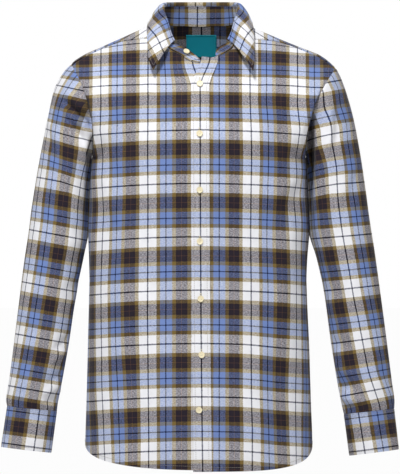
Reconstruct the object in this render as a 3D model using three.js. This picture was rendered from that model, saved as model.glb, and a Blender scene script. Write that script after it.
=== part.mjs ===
// A flannel shirt in its worn form with no wearer, in millimetres, +Z up.
// The front faces -Y. The wearer's right side is at -X. The origin is at the shoulders, on the centre line.
import * as THREE from 'three';

const WALL = 1.6;          // body, yoke and sleeve cloth
const FIRM = 1.9;          // collar, cuffs and placket, which are two layers and an interlining
const SEAM = 0.2;          // each side of a seam stops this far from the seam line
const RIGHT = -1;          // the wearer's right, at -X
const LEFT = 1;
const HIPS = -222;         // the height of the underarm point

// Height of the shoulder line over each half-width. The first three rows are above the neck hole.
const SHOULDER = [
  { x: 0, right: 15, left: 15 },
  { x: 25, right: 14.5, left: 14.5 },
  { x: 50, right: 12, left: 12 },
  { x: 72, right: 8, left: 8 },
  { x: 94, right: -1.5, left: -2.8 },
  { x: 110, right: -8.5, left: -9.4 },
  { x: 125, right: -15.3, left: -15.6 },
  { x: 140, right: -22, left: -22 },
  { x: 156, right: -29, left: -28.6 },
  { x: 171, right: -35.7, left: -34.5 },
  { x: 188, right: -42.8, left: -41 },
  { x: 200, right: -49.3, left: -45.8 },
  { x: 210, right: -55.5, left: -51.5 },
  { x: 219, right: -63, left: -58.3 },
  { x: 232, right: -74, left: -70 },
];

// Depth of the level sections in front of and behind the middle, and how square their corners are.
const TORSO = [
  { z: 15, front: 12, back: 47, power: 2.15 },
  { z: 0, front: 25, back: 56, power: 2.15 },
  { z: -20, front: 40, back: 66, power: 2.2 },
  { z: -40, front: 52, back: 75, power: 2.2 },
  { z: -62, front: 63, back: 84, power: 2.25 },
  { z: -100, front: 84, back: 98, power: 2.3 },
  { z: -150, front: 102, back: 111, power: 2.4 },
  { z: -200, front: 112, back: 115, power: 2.5 },
  { z: -300, front: 113, back: 109, power: 2.6 },
  { z: -400, front: 111, back: 104, power: 2.6 },
  { z: -500, front: 113, back: 106, power: 2.5 },
  { z: -600, front: 120, back: 112, power: 2.35 },
  { z: -700, front: 128, back: 118, power: 2.2 },
  { z: -770, front: 132, back: 121, power: 2.15 },
];

// Half-width of the body below the underarm.
const SIDE = [
  { z: -222, right: 183, left: 180 },
  { z: -280, right: 183.5, left: 180 },
  { z: -345, right: 185, left: 182 },
  { z: -400, right: 186.5, left: 181 },
  { z: -457, right: 188, left: 182.4 },
  { z: -539, right: 190, left: 185.8 },
  { z: -620, right: 192, left: 188 },
  { z: -702, right: 194.5, left: 191 },
  { z: -770, right: 195.5, left: 192.5 },
];

// The armhole seam: its shoulder tip and underarm point, half its depth, and how far it bows to the middle.
const ARMHOLE = {
  right: { tipX: 219, tipZ: -63, lowX: 183, lowZ: HIPS },
  left: { tipX: 232, tipZ: -70, lowX: 180, lowZ: HIPS },
  deep: 67,
  bowFront: 15,
  bowBack: 8,
};

// How far below the shoulder line the front yoke seam runs.
const YOKE_DROP = [
  { x: 65, drop: 27.6 },
  { x: 93, drop: 18.5 },
  { x: 118, drop: 10 },
  { x: 136, drop: 5 },
  { x: 156, drop: 3.4 },
  { x: 232, drop: 3.4 },
];

// The neck seam from the back centre (0) to the front end (1): lean is the height below the shoulder line,
// as a square root in tens of millimetres, behind it when positive. The stand columns are the top of the
// stand.
const NECK = {
  right: [
    { t: 0, x: 0, lean: 0.374, standX: 0, standY: 50, standZ: 36 },
    { t: 0.2, x: 38, lean: 0.33, standX: 34, standY: 44, standZ: 36 },
    { t: 0.38, x: 64, lean: 0.207, standX: 56, standY: 24, standZ: 35.5 },
    { t: 0.5, x: 72.5, lean: 0, standX: 64, standY: 3, standZ: 33 },
    { t: 0.6, x: 71, lean: -0.35, standX: 62.5, standY: -12, standZ: 23 },
    { t: 0.7, x: 65, lean: -0.525, standX: 56, standY: -24, standZ: 7 },
    { t: 0.8, x: 53, lean: -0.69, standX: 44, standY: -34, standZ: -27 },
    { t: 0.9, x: 31, lean: -0.794, standX: 23, standY: -38, standZ: -36 },
    { t: 0.96, x: 15, lean: -0.859, standX: 10, standY: -42, standZ: -45 },
    { t: 1, x: -1, lean: -0.877, standX: -3, standY: -44, standZ: -50 },
  ],
  left: [
    { t: 0, x: 0, lean: 0.374, standX: 0, standY: 50, standZ: 36 },
    { t: 0.2, x: 38, lean: 0.33, standX: 36, standY: 44, standZ: 36 },
    { t: 0.38, x: 64, lean: 0.207, standX: 60, standY: 24, standZ: 35.5 },
    { t: 0.5, x: 72.5, lean: 0, standX: 68, standY: 3, standZ: 33 },
    { t: 0.6, x: 71, lean: -0.35, standX: 66, standY: -12, standZ: 23 },
    { t: 0.7, x: 65, lean: -0.525, standX: 60, standY: -24, standZ: 8 },
    { t: 0.8, x: 55, lean: -0.69, standX: 49, standY: -34, standZ: -25 },
    { t: 0.9, x: 37, lean: -0.785, standX: 31, standY: -37, standZ: -34 },
    { t: 0.96, x: 19, lean: -0.825, standX: 16, standY: -40, standZ: -42 },
    { t: 1, x: 5, lean: -0.818, standX: 7, standY: -42, standZ: -44 },
  ],
};

// The outer edge of the collar leaf, from the back centre to its point.
const LEAF = {
  right: [
    { t: 0, edgeX: 0, edgeY: 70, edgeZ: -3 },
    { t: 0.2, edgeX: 49, edgeY: 60, edgeZ: -1 },
    { t: 0.38, edgeX: 79, edgeY: 34, edgeZ: 1.5 },
    { t: 0.5, edgeX: 89, edgeY: 3, edgeZ: 4 },
    { t: 0.6, edgeX: 90, edgeY: -24, edgeZ: -5 },
    { t: 0.7, edgeX: 88.5, edgeY: -49, edgeZ: -32 },
    { t: 0.75, edgeX: 86.5, edgeY: -67, edgeZ: -56 },
    { t: 0.8, edgeX: 79, edgeY: -81, edgeZ: -74 },
  ],
  left: [
    { t: 0, edgeX: 0, edgeY: 70, edgeZ: -3 },
    { t: 0.2, edgeX: 50, edgeY: 60, edgeZ: -1 },
    { t: 0.38, edgeX: 80, edgeY: 34, edgeZ: 1.5 },
    { t: 0.5, edgeX: 90, edgeY: 3, edgeZ: 4 },
    { t: 0.6, edgeX: 92, edgeY: -24, edgeZ: -5 },
    { t: 0.7, edgeX: 93, edgeY: -49, edgeZ: -32 },
    { t: 0.75, edgeX: 93, edgeY: -67, edgeZ: -57 },
    { t: 0.8, edgeX: 91, edgeY: -81, edgeZ: -75 },
  ],
};

// The sleeve from the armhole (0) to the cuff seam (1): its outer and inner lines seen from the front,
// half its depth, and how far it hangs forward.
const SLEEVE = {
  right: [
    { s: 0, outX: 219, outZ: -63, inX: 183.4, inZ: HIPS, deep: 67, ahead: 0, bow: 1 },
    { s: 0.04, outX: 233.5, outZ: -80, inX: 185, inZ: -236, deep: 67, ahead: 0, bow: 0.8 },
    { s: 0.1, outX: 248, outZ: -108, inX: 187, inZ: -260, deep: 65.5, ahead: 0, bow: 0.5 },
    { s: 0.2, outX: 259, outZ: -158, inX: 189.5, inZ: -297, deep: 62, ahead: 1, bow: 0.15 },
    { s: 0.32, outX: 271.5, outZ: -222, inX: 191.5, inZ: -342, deep: 57, ahead: 3, bow: 0 },
    { s: 0.45, outX: 284.5, outZ: -300, inX: 198.5, inZ: -392, deep: 53, ahead: 6, bow: 0 },
    { s: 0.6, outX: 298, outZ: -396, inX: 209.5, inZ: -451, deep: 50, ahead: 9, bow: 0 },
    { s: 0.76, outX: 311, outZ: -500, inX: 221, inZ: -530, deep: 46, ahead: 12, bow: 0 },
    { s: 0.9, outX: 323.5, outZ: -598, inX: 236, inZ: -614, deep: 42, ahead: 14, bow: 0 },
    { s: 0.97, outX: 328.8, outZ: -634, inX: 241.5, inZ: -643, deep: 39, ahead: 15, bow: 0 },
    { s: 1, outX: 327.3, outZ: -644, inX: 242.6, inZ: -652.4, deep: 36.5, ahead: 15, bow: 0 },
  ],
  left: [
    { s: 0, outX: 232, outZ: -70, inX: 180.4, inZ: HIPS, deep: 67, ahead: 0, bow: 1 },
    { s: 0.04, outX: 241.5, outZ: -90, inX: 182, inZ: -236, deep: 67, ahead: 0, bow: 0.8 },
    { s: 0.1, outX: 250, outZ: -114, inX: 184, inZ: -260, deep: 65.5, ahead: 0, bow: 0.5 },
    { s: 0.2, outX: 262, outZ: -158, inX: 186, inZ: -297, deep: 62, ahead: 1, bow: 0.15 },
    { s: 0.32, outX: 274, outZ: -222, inX: 188.5, inZ: -345, deep: 57, ahead: 3, bow: 0 },
    { s: 0.45, outX: 285.5, outZ: -300, inX: 200, inZ: -394, deep: 53, ahead: 6, bow: 0 },
    { s: 0.6, outX: 299.5, outZ: -396, inX: 211.5, inZ: -453, deep: 50, ahead: 9, bow: 0 },
    { s: 0.76, outX: 313.5, outZ: -500, inX: 222.5, inZ: -533, deep: 46, ahead: 12, bow: 0 },
    { s: 0.9, outX: 326, outZ: -598, inX: 236.5, inZ: -618, deep: 42, ahead: 14, bow: 0 },
    { s: 0.97, outX: 331, outZ: -637, inX: 242.5, inZ: -648, deep: 39, ahead: 15, bow: 0 },
    { s: 1, outX: 330.5, outZ: -648, inX: 244.8, inZ: -657.5, deep: 36.5, ahead: 15, bow: 0 },
  ],
};

const CUFF = {
  right: [
    { s: 0, outX: 327, outZ: -644.1, inX: 242.7, inZ: -652.5, deep: 36, ahead: 15 },
    { s: 1, outX: 337.4, outZ: -713.5, inX: 252.1, inZ: -723.4, deep: 35, ahead: 16 },
  ],
  left: [
    { s: 0, outX: 330.2, outZ: -648.1, inX: 244.9, inZ: -657.6, deep: 36, ahead: 15 },
    { s: 1, outX: 338.2, outZ: -717.5, inX: 254.2, inZ: -728.3, deep: 35, ahead: 16 },
  ],
};

// Front buttons by the middle of each, as seen from the front.
const FRONT_BUTTONS = [
  { name: 'button_1', x: 0.3, z: -98.8 },
  { name: 'button_2', x: -0.2, z: -182.6 },
  { name: 'button_3', x: 0, z: -277.4 },
  { name: 'button_4', x: 0.4, z: -364.3 },
  { name: 'button_5', x: 1.7, z: -461.6 },
  { name: 'button_6', x: 3.2, z: -556.4 },
  { name: 'button_7', x: -1.2, z: -649.9 },
];

const wearer = (side) => (side === RIGHT ? 'right' : 'left');
const clamp = (v, lo, hi) => Math.min(hi, Math.max(lo, v));
const mix = (a, b, f) => a + (b - a) * f;
const smooth = (lo, hi, v) => {
  const f = clamp((v - lo) / (hi - lo), 0, 1);
  return f * f * (3 - 2 * f);
};

// A smooth curve through one column of a table, with no overshoot between rows.
function follow(rows, key, column, at) {
  const up = rows[0][key] < rows[rows.length - 1][key];
  const list = up ? rows : [...rows].reverse();
  const n = list.length;
  const k = (i) => list[i][key];
  const v = (i) => list[i][column];
  const p = clamp(at, k(0), k(n - 1));
  let i = 0;
  while (i < n - 2 && p > k(i + 1)) i += 1;
  const slope = (j) => (v(j + 1) - v(j)) / (k(j + 1) - k(j));
  const tangent = (j) => {
    if (j === 0) return slope(0);
    if (j === n - 1) return slope(n - 2);
    const a = slope(j - 1);
    const b = slope(j);
    return a * b <= 0 ? 0 : (3 * a * b) / (a + b + Math.max(Math.abs(a), Math.abs(b)) * Math.sign(a));
  };
  const h = k(i + 1) - k(i);
  const f = (p - k(i)) / h;
  const f2 = f * f;
  const f3 = f2 * f;
  return (2 * f3 - 3 * f2 + 1) * v(i) + (f3 - 2 * f2 + f) * h * tangent(i)
    + (3 * f2 - 2 * f3) * v(i + 1) + (f3 - f2) * h * tangent(i + 1);
}

const ridge = (side, x) => follow(SHOULDER, 'x', wearer(side), Math.abs(x));

// The half-width at which the shoulder line is at a height.
function ridgeReach(side, z) {
  let lo = 0;
  let hi = 232;
  for (let i = 0; i < 40; i += 1) {
    const mid = (lo + hi) / 2;
    if (ridge(side, mid) > z) lo = mid; else hi = mid;
  }
  return (lo + hi) / 2;
}

// The armhole seam at a height, on the front (face -1) or the back (face 1).
function armholeAt(side, face, z) {
  const a = ARMHOLE[wearer(side)];
  const down = clamp((a.tipZ - z) / (a.tipZ - a.lowZ), 0, 1);
  const round = 1 - (2 * down - 1) ** 2;
  const bow = face < 0 ? ARMHOLE.bowFront : ARMHOLE.bowBack;
  return { x: mix(a.tipX, a.lowX, down) - bow * round, y: ARMHOLE.deep * Math.sqrt(Math.max(round, 0)) };
}

// One level section of the body: its half-width, depth and power.
function section(side, face, z) {
  const a = ARMHOLE[wearer(side)];
  const power = follow(TORSO, 'z', 'power', z);
  const deep = follow(TORSO, 'z', face < 0 ? 'front' : 'back', z);
  if (z >= a.tipZ) return { wide: ridgeReach(side, z), deep, power };
  if (z <= a.lowZ) return { wide: follow(SIDE, 'z', wearer(side), z), deep, power };
  const seam = armholeAt(side, face, z);
  return { wide: seam.x / (1 - (seam.y / deep) ** power) ** (1 / power), deep, power };
}

// The body surface at a height: g is 0 at the centre and 1 at the side, by the sine of the half-width.
function bodyPoint(face, g, z) {
  const side = g < 0 ? RIGHT : LEFT;
  const s = section(side, face, z);
  const share = Math.sin((Math.PI / 2) * Math.min(Math.abs(g), 1));
  const y = s.deep * Math.max(0, 1 - share ** s.power) ** (1 / s.power);
  return new THREE.Vector3(side * s.wide * share, face * y, z);
}

const gOf = (face, x, z) => {
  const side = x < 0 ? RIGHT : LEFT;
  return side * (2 / Math.PI) * Math.asin(clamp(Math.abs(x) / section(side, face, z).wide, 0, 1));
};

// The same surface over the shoulder: lean is 0 on the shoulder line and negative in front of it.
function leanPoint(x, lean) {
  const side = x < 0 ? RIGHT : LEFT;
  const z = ridge(side, x) - 100 * lean * lean;
  const s = section(side, lean < 0 ? -1 : 1, z);
  const y = s.deep * Math.max(0, 1 - (Math.abs(x) / s.wide) ** s.power) ** (1 / s.power);
  return new THREE.Vector3(x, lean < 0 ? -y : y, z);
}
// The direction straight out of the body surface at a point on or near it.
function bodyFacing(p) {
  const side = p.x < 0 ? RIGHT : LEFT;
  const face = p.y < 0 ? -1 : 1;
  const fullness = (x, y, z) => {
    const s = section(side, face, z);
    return (Math.abs(x) / s.wide) ** s.power + (Math.abs(y) / s.deep) ** s.power;
  };
  const h = 0.5;
  return new THREE.Vector3(
    fullness(p.x + h, p.y, p.z) - fullness(p.x - h, p.y, p.z),
    fullness(p.x, p.y + h, p.z) - fullness(p.x, p.y - h, p.z),
    fullness(p.x, p.y, p.z + h) - fullness(p.x, p.y, p.z - h),
  ).normalize();
}

const leanOf = (x, z, face) => face * Math.sqrt(Math.max(0, ridge(x < 0 ? RIGHT : LEFT, x) - z) / 100);

const neckAt = (side, t) => {
  const rows = NECK[wearer(side)];
  return { x: side * follow(rows, 't', 'x', t), lean: follow(rows, 't', 'lean', t) };
};
const neckZ = (side, t) => {
  const n = neckAt(side, t);
  return ridge(n.x < 0 ? RIGHT : LEFT, n.x) - 100 * n.lean * n.lean;
};
const JOIN = 0.7;                // where on the neck seam the yoke's front seam starts
const yokeSeamZ = (side, x) => ridge(side, x) - follow(YOKE_DROP, 'x', 'drop', Math.abs(x));
const backSeamZ = (x) => -98 - 6 * (x / 200) ** 2;

// Heights where the armhole seam meets the front yoke seam and the back yoke seam.
function armholeStop(side, face) {
  const a = ARMHOLE[wearer(side)];
  let lo = a.lowZ;
  let hi = a.tipZ;
  for (let i = 0; i < 40; i += 1) {
    const mid = (lo + hi) / 2;
    const x = armholeAt(side, face, mid).x;
    const seam = face < 0 ? yokeSeamZ(side, x) : backSeamZ(x);
    if (mid < seam) lo = mid; else hi = mid;
  }
  return (lo + hi) / 2;
}

// The armhole seam is cut into the same steps for every piece that meets it. Angles start at the
// underarm, rise up the front, pass the shoulder tip and come down the back.
const STEPS = { front: 8, yoke: 6, back: 7 };
function armholeAngles(side) {
  const a = ARMHOLE[wearer(side)];
  const angle = (z) => Math.acos(clamp(2 * ((z - a.lowZ) / (a.tipZ - a.lowZ)) - 1, -1, 1));
  const toFront = Math.PI - angle(armholeStop(side, -1));
  const toBack = Math.PI + angle(armholeStop(side, 1));
  const list = [];
  for (let i = 0; i < STEPS.front; i += 1) list.push((toFront * i) / STEPS.front);
  for (let i = 0; i < STEPS.yoke; i += 1) list.push(mix(toFront, toBack, i / STEPS.yoke));
  for (let i = 0; i <= STEPS.back; i += 1) list.push(mix(toBack, 2 * Math.PI, i / STEPS.back));
  return list;
}
function armholePoint(side, angle) {
  const a = ARMHOLE[wearer(side)];
  const z = mix(a.lowZ, a.tipZ, (1 - Math.cos(angle)) / 2);
  const face = angle <= Math.PI ? -1 : 1;
  const p = armholeAt(side, face, z);
  return new THREE.Vector3(side * p.x, face * p.y, z);
}

// Hem height from the centre (0) to the side seam (1).
const hemZ = (side, face, g) => {
  const f = Math.min(Math.abs(g), 1);
  if (face > 0) return -750 + 44 * f ** 2.6;
  return side === RIGHT ? -751 + 44 * f ** 2.3 : -753.5 + 46 * f ** 3;
};

// The centre lines: the placket leans to the wearer's left above the first button, the other front edge
// leans the other way, so the neck opens in a small V.
const placketMiddle = (z) => 0.6 + 4.2 * clamp((-z - 120) / 630, 0, 1) ** 2 + 16.6 * smooth(-106, -52, z);
const underEdge = (z) => 10.5 - 11 * smooth(-104, -58, z);
const overEdge = (z) => placketMiddle(z) + 10.8;
const PLACKET_HALF = (z) => 15.8 - 1.8 * smooth(-100, -50, z);

// A grid made from four edges, blended in the surface's own two measures.
function blendGrid(columns, rows, edges, place) {
  const grid = [];
  const [b0, b1] = [edges.bottom(0), edges.bottom(1)];
  const [t0, t1] = [edges.top(0), edges.top(1)];
  for (let j = 0; j <= rows; j += 1) {
    const v = j / rows;
    const [l, r] = [edges.left(v), edges.right(v)];
    const line = [];
    for (let i = 0; i <= columns; i += 1) {
      const u = i / columns;
      const [b, t] = [edges.bottom(u), edges.top(u)];
      const at = [0, 1].map((k) => (1 - v) * b[k] + v * t[k] + (1 - u) * l[k] + u * r[k]
        - ((1 - u) * (1 - v) * b0[k] + u * (1 - v) * b1[k] + (1 - u) * v * t0[k] + u * v * t1[k]));
      line.push(place(at[0], at[1]));
    }
    grid.push(line);
  }
  return grid;
}

// Facing of each grid point, across its neighbours.
function facing(grid, around) {
  const rows = grid.length;
  const columns = grid[0].length;
  return grid.map((line, j) => line.map((p, i) => {
    const left = around ? line[(i + columns - 1) % columns] : line[Math.max(i - 1, 0)];
    const right = around ? line[(i + 1) % columns] : line[Math.min(i + 1, columns - 1)];
    const low = grid[Math.max(j - 1, 0)][i];
    const high = grid[Math.min(j + 1, rows - 1)][i];
    return right.clone().sub(left).cross(high.clone().sub(low)).normalize();
  }));
}

// Draws an open grid's border in by the seam gap.
function trim(grid, gap, around) {
  const rows = grid.length;
  const columns = grid[0].length;
  const out = grid.map((line) => line.map((p) => p.clone()));
  const pull = (j, i, jj, ii) => {
    const way = grid[jj][ii].clone().sub(grid[j][i]);
    out[j][i].addScaledVector(way.normalize(), gap);
  };
  for (let i = 0; i < columns; i += 1) {
    pull(0, i, 1, i);
    pull(rows - 1, i, rows - 2, i);
  }
  if (!around) {
    for (let j = 0; j < rows; j += 1) {
      pull(j, 0, j, 1);
      pull(j, columns - 1, j, columns - 2);
    }
  }
  return out;
}

// A closed solid with its outer face on the grid, raised, and its wall inward. A grid is laid out with its
// columns and rows turning so that the facing points out of the garment.
function cloth(name, raw, options = {}) {
  const { thick = WALL, raise = 0, around = false, gap = SEAM, out: rule = null, first = null } = options;
  const grid = gap > 0 ? trim(raw, gap, around) : raw;
  const out = rule ? grid.map((line) => line.map(rule)) : facing(grid, around);
  if (first) {
    out[0].forEach((own, i) => {
      const shared = first(grid[0][i]);
      own.lerp(shared, smooth(0, 0.5, own.dot(shared))).normalize();
    });
  }
  const rows = grid.length;
  const columns = grid[0].length;
  const points = [];
  const faces = [];
  for (const level of [raise, raise - thick]) {
    grid.forEach((line, j) => line.forEach((p, i) => points.push(p.clone().addScaledVector(out[j][i], level))));
  }
  const top = (j, i) => j * columns + (around ? i % columns : i);
  const under = (j, i) => rows * columns + top(j, i);
  const last = around ? columns : columns - 1;
  const quad = (a, b, c, d) => {
    const straight = points[a].distanceTo(points[c]) <= points[b].distanceTo(points[d]);
    faces.push(...(straight ? [a, b, c, a, c, d] : [b, c, d, b, d, a]));
  };
  for (let j = 0; j < rows - 1; j += 1) {
    for (let i = 0; i < last; i += 1) {
      quad(top(j, i), top(j, i + 1), top(j + 1, i + 1), top(j + 1, i));
      quad(under(j, i), under(j + 1, i), under(j + 1, i + 1), under(j, i + 1));
    }
  }
  for (let i = 0; i < last; i += 1) {
    quad(top(0, i), under(0, i), under(0, i + 1), top(0, i + 1));
    quad(top(rows - 1, i), top(rows - 1, i + 1), under(rows - 1, i + 1), under(rows - 1, i));
  }
  if (!around) {
    for (let j = 0; j < rows - 1; j += 1) {
      quad(top(j, 0), top(j + 1, 0), under(j + 1, 0), under(j, 0));
      quad(top(j, last), under(j, last), under(j + 1, last), top(j + 1, last));
    }
  }
  return meshOf(name, points, faces);
}

function meshOf(name, points, faces) {
  const geometry = new THREE.BufferGeometry();
  geometry.setAttribute('position', new THREE.Float32BufferAttribute(points.flatMap((p) => [p.x, p.y, p.z]), 3));
  geometry.setIndex(faces);
  geometry.computeVertexNormals();
  const mesh = new THREE.Mesh(geometry, new THREE.MeshStandardMaterial());
  mesh.name = name;
  return mesh;
}

const mirrorRows = (grid) => grid.map((line) => [...line].reverse());

// One front: straight rows from the hem to the underarm, then a blend up to the neck and yoke seams.
const NECK_STEPS = 6;
const SEAM_STEPS = 7;
function frontTop(side, edgeX) {
  const start = gOf(-1, edgeX(HIPS), HIPS);
  const neckEnd = frontNeckEnd(side, edgeX);
  const angles = armholeAngles(side);
  const join = neckAt(side, JOIN).x;
  const tip = armholePoint(side, angles[STEPS.front]);
  const topZ = neckEnd.z;
  return {
    bottom: (u) => [mix(start, side, u), HIPS],
    left: (v) => { const z = mix(HIPS, topZ, v); return [gOf(-1, edgeX(z), z), z]; },
    right: (v) => {
      const p = armholePoint(side, angles[Math.round(v * STEPS.front)]);
      return [gOf(-1, p.x, p.z), p.z];
    },
    top: (u) => {
      const i = u * (NECK_STEPS + SEAM_STEPS);
      if (i <= NECK_STEPS) {
        const n = neckAt(side, mix(neckEnd.t, JOIN, i / NECK_STEPS));
        const z = ridge(n.x < 0 ? RIGHT : LEFT, n.x) - 100 * n.lean * n.lean;
        return [gOf(-1, n.x, z), z];
      }
      const x = mix(join, tip.x, (i - NECK_STEPS) / SEAM_STEPS);
      const z = i >= NECK_STEPS + SEAM_STEPS ? tip.z : yokeSeamZ(side, x);
      return [gOf(-1, x, z), z];
    },
  };
}
// Where a front edge meets the neck seam.
function frontNeckEnd(side, edgeX) {
  let best = { t: 1, z: neckZ(side, 1) };
  let near = Infinity;
  for (let i = 0; i <= 200; i += 1) {
    const t = mix(JOIN, 1, i / 200);
    const z = neckZ(side, t);
    const off = Math.abs(neckAt(side, t).x - edgeX(z));
    if (off < near) { near = off; best = { t, z }; }
  }
  return best;
}
const LOW_ROWS = 12;
function frontGrid(side, edgeX) {
  const columns = NECK_STEPS + SEAM_STEPS;
  const low = [];
  for (let j = 0; j < LOW_ROWS; j += 1) {
    const line = [];
    for (let i = 0; i <= columns; i += 1) {
      const u = i / columns;
      const hem = hemZ(side, -1, u);
      const z = mix(hem, HIPS, j / LOW_ROWS);
      line.push(bodyPoint(-1, mix(gOf(-1, edgeX(z), z), side, u), z));
    }
    low.push(line);
  }
  const high = blendGrid(columns, STEPS.front, frontTop(side, edgeX), (g, z) => bodyPoint(-1, g, z));
  const grid = [...low, ...high];
  return side === RIGHT ? mirrorRows(grid) : grid;
}

// The back is one piece from side seam to side seam.
const BACK_COLUMNS = 22;
function backGrid() {
  const low = [];
  for (let j = 0; j < LOW_ROWS; j += 1) {
    const line = [];
    for (let i = 0; i <= BACK_COLUMNS; i += 1) {
      const g = mix(-1, 1, i / BACK_COLUMNS);
      line.push(bodyPoint(1, g, mix(hemZ(LEFT, 1, g), HIPS, j / LOW_ROWS)));
    }
    low.push(line);
  }
  const sideEdge = (side) => {
    const angles = armholeAngles(side);
    return (v) => {
      const p = armholePoint(side, angles[angles.length - 1 - Math.round(v * STEPS.back)]);
      return [v === 0 ? side : gOf(1, p.x, p.z), p.z];
    };
  };
  const [left, right] = [sideEdge(RIGHT), sideEdge(LEFT)];
  const top = (u) => {
    if (u === 0) return left(1);
    if (u === 1) return right(1);
    const g = mix(left(1)[0], right(1)[0], u);
    let z = -98;
    for (let i = 0; i < 6; i += 1) z = backSeamZ(bodyPoint(1, g, z).x);
    return [g, z];
  };
  const bottom = (u) => [mix(-1, 1, u), HIPS];
  const high = blendGrid(BACK_COLUMNS, STEPS.back, { bottom, top, left, right }, (g, z) => bodyPoint(1, g, z));
  return mirrorRows([...low, ...high]);
}

// The yoke, from its front seams and the back of the neck over to the back seam.
const NECK_BACK_STEPS = 7;
function yokeGrid() {
  const half = SEAM_STEPS + NECK_BACK_STEPS;
  const ends = {};
  for (const side of [RIGHT, LEFT]) {
    const angles = armholeAngles(side);
    ends[side] = (v) => {
      const k = Math.round(v * STEPS.yoke);
      const p = armholePoint(side, angles[STEPS.front + k]);
      const face = angles[STEPS.front + k] <= Math.PI ? -1 : 1;
      return [p.x, leanOf(p.x, p.z, face)];
    };
  }
  const front = (u) => {
    const i = Math.round(u * 2 * half) - half;
    const side = i < 0 ? RIGHT : LEFT;
    const k = Math.abs(i);
    if (k <= NECK_BACK_STEPS) {
      const n = neckAt(side, (JOIN * k) / NECK_BACK_STEPS);
      return [n.x, n.lean];
    }
    if (k === half) return ends[side](0);
    const x = mix(neckAt(side, JOIN).x, ends[side](0)[0], (k - NECK_BACK_STEPS) / SEAM_STEPS);
    return [x, leanOf(x, yokeSeamZ(side, x), -1)];
  };
  const back = (u) => {
    if (u === 0) return ends[RIGHT](1);
    if (u === 1) return ends[LEFT](1);
    const x = mix(ends[RIGHT](1)[0], ends[LEFT](1)[0], u);
    return [x, leanOf(x, backSeamZ(x), 1)];
  };
  const grid = blendGrid(2 * half, STEPS.yoke, { bottom: front, top: back, left: ends[RIGHT], right: ends[LEFT] }, leanPoint);
  return grid;
}

// A point of a sleeve or cuff.
function tubePoint(table, side, s, angle, lift = 0) {
  const rows = table[wearer(side)];
  const get = (column) => follow(rows, 's', column, s);
  const [outX, outZ, inX, inZ] = ['outX', 'outZ', 'inX', 'inZ'].map(get);
  const [midX, midZ] = [(outX + inX) / 2, (outZ + inZ) / 2];
  const c = Math.cos(angle);
  const sn = Math.sin(angle);
  const bow = table === SLEEVE ? get('bow') * (sn > 0 ? ARMHOLE.bowFront : ARMHOLE.bowBack) * sn * sn : 0;
  const half = Math.hypot(inX - outX, inZ - outZ) / 2;
  const grow = 1 + lift / half;
  const deep = get('deep') + lift;
  return new THREE.Vector3(
    side * (midX + c * (inX - midX) * grow - bow),
    -get('ahead') - deep * sn,
    midZ + c * (inZ - midZ) * grow,
  );
}

const SLEEVE_ROWS = [0, 0.04, 0.1, 0.17, 0.25, 0.34, 0.43, 0.52, 0.61, 0.7, 0.79, 0.88, 0.95, 0.98, 1];
function sleeveGrid(side) {
  const angles = armholeAngles(side).slice(0, -1);
  const grid = SLEEVE_ROWS.map((s) => angles.map((angle) => tubePoint(SLEEVE, side, s, angle)));
  return side === LEFT ? mirrorRows(grid) : grid;
}

// The lap of each cuff is on the back of the wrist, where the sleeve's placket ends.
const LAP = 1.3 * Math.PI;
function cuffGrid(side) {
  const steps = 26;
  const lap = 0.6;
  const grid = [];
  for (let j = 0; j <= 3; j += 1) {
    const line = [];
    for (let i = 0; i <= steps; i += 1) {
      const turn = (i / steps) * (2 * Math.PI + lap);
      const lift = 2.6 * smooth(2 * Math.PI - 0.5, 2 * Math.PI - 0.05, turn);
      line.push(tubePoint(CUFF, side, j / 3, LAP - lap / 2 + turn, lift));
    }
    grid.push(line);
  }
  return side === LEFT ? mirrorRows(grid) : grid;
}

// The strip that finishes the sleeve's opening, laid on the sleeve just above the cuff.
function sleevePlacketGrid(side) {
  const grid = [];
  for (let j = 0; j <= 6; j += 1) {
    const s = mix(0.83, 0.985, j / 6);
    const line = [];
    for (let i = 0; i <= 2; i += 1) line.push(tubePoint(SLEEVE, side, s, LAP + mix(-0.27, 0.27, i / 2)));
    grid.push(line);
  }
  return side === LEFT ? mirrorRows(grid) : grid;
}

// Places round the neck run from the right front end (-1) over the back (0) to the left front end (1).
// The neck seam is cut into the same steps for the yoke, the fronts and the stand.
function neckSteps(side) {
  const end = frontNeckEnd(side, side === RIGHT ? underEdge : overEdge).t;
  const list = [];
  for (let k = 0; k < NECK_BACK_STEPS; k += 1) list.push((JOIN * k) / NECK_BACK_STEPS);
  for (let k = 0; k <= NECK_STEPS; k += 1) list.push(mix(JOIN, end, k / NECK_STEPS));
  return list;
}
const NECK_STOPS = { [RIGHT]: neckSteps(RIGHT), [LEFT]: neckSteps(LEFT) };
function seamPoint(t) {
  const side = t < 0 ? RIGHT : LEFT;
  const stops = NECK_STOPS[side];
  const at = clamp(Math.abs(t), 0, stops[stops.length - 1]);
  let i = 0;
  while (i < stops.length - 2 && at > stops[i + 1]) i += 1;
  const [a, b] = [neckAt(side, stops[i]), neckAt(side, stops[i + 1])];
  const f = (at - stops[i]) / (stops[i + 1] - stops[i]);
  return leanPoint(a.x, a.lean).lerp(leanPoint(b.x, b.lean), f);
}

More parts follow.
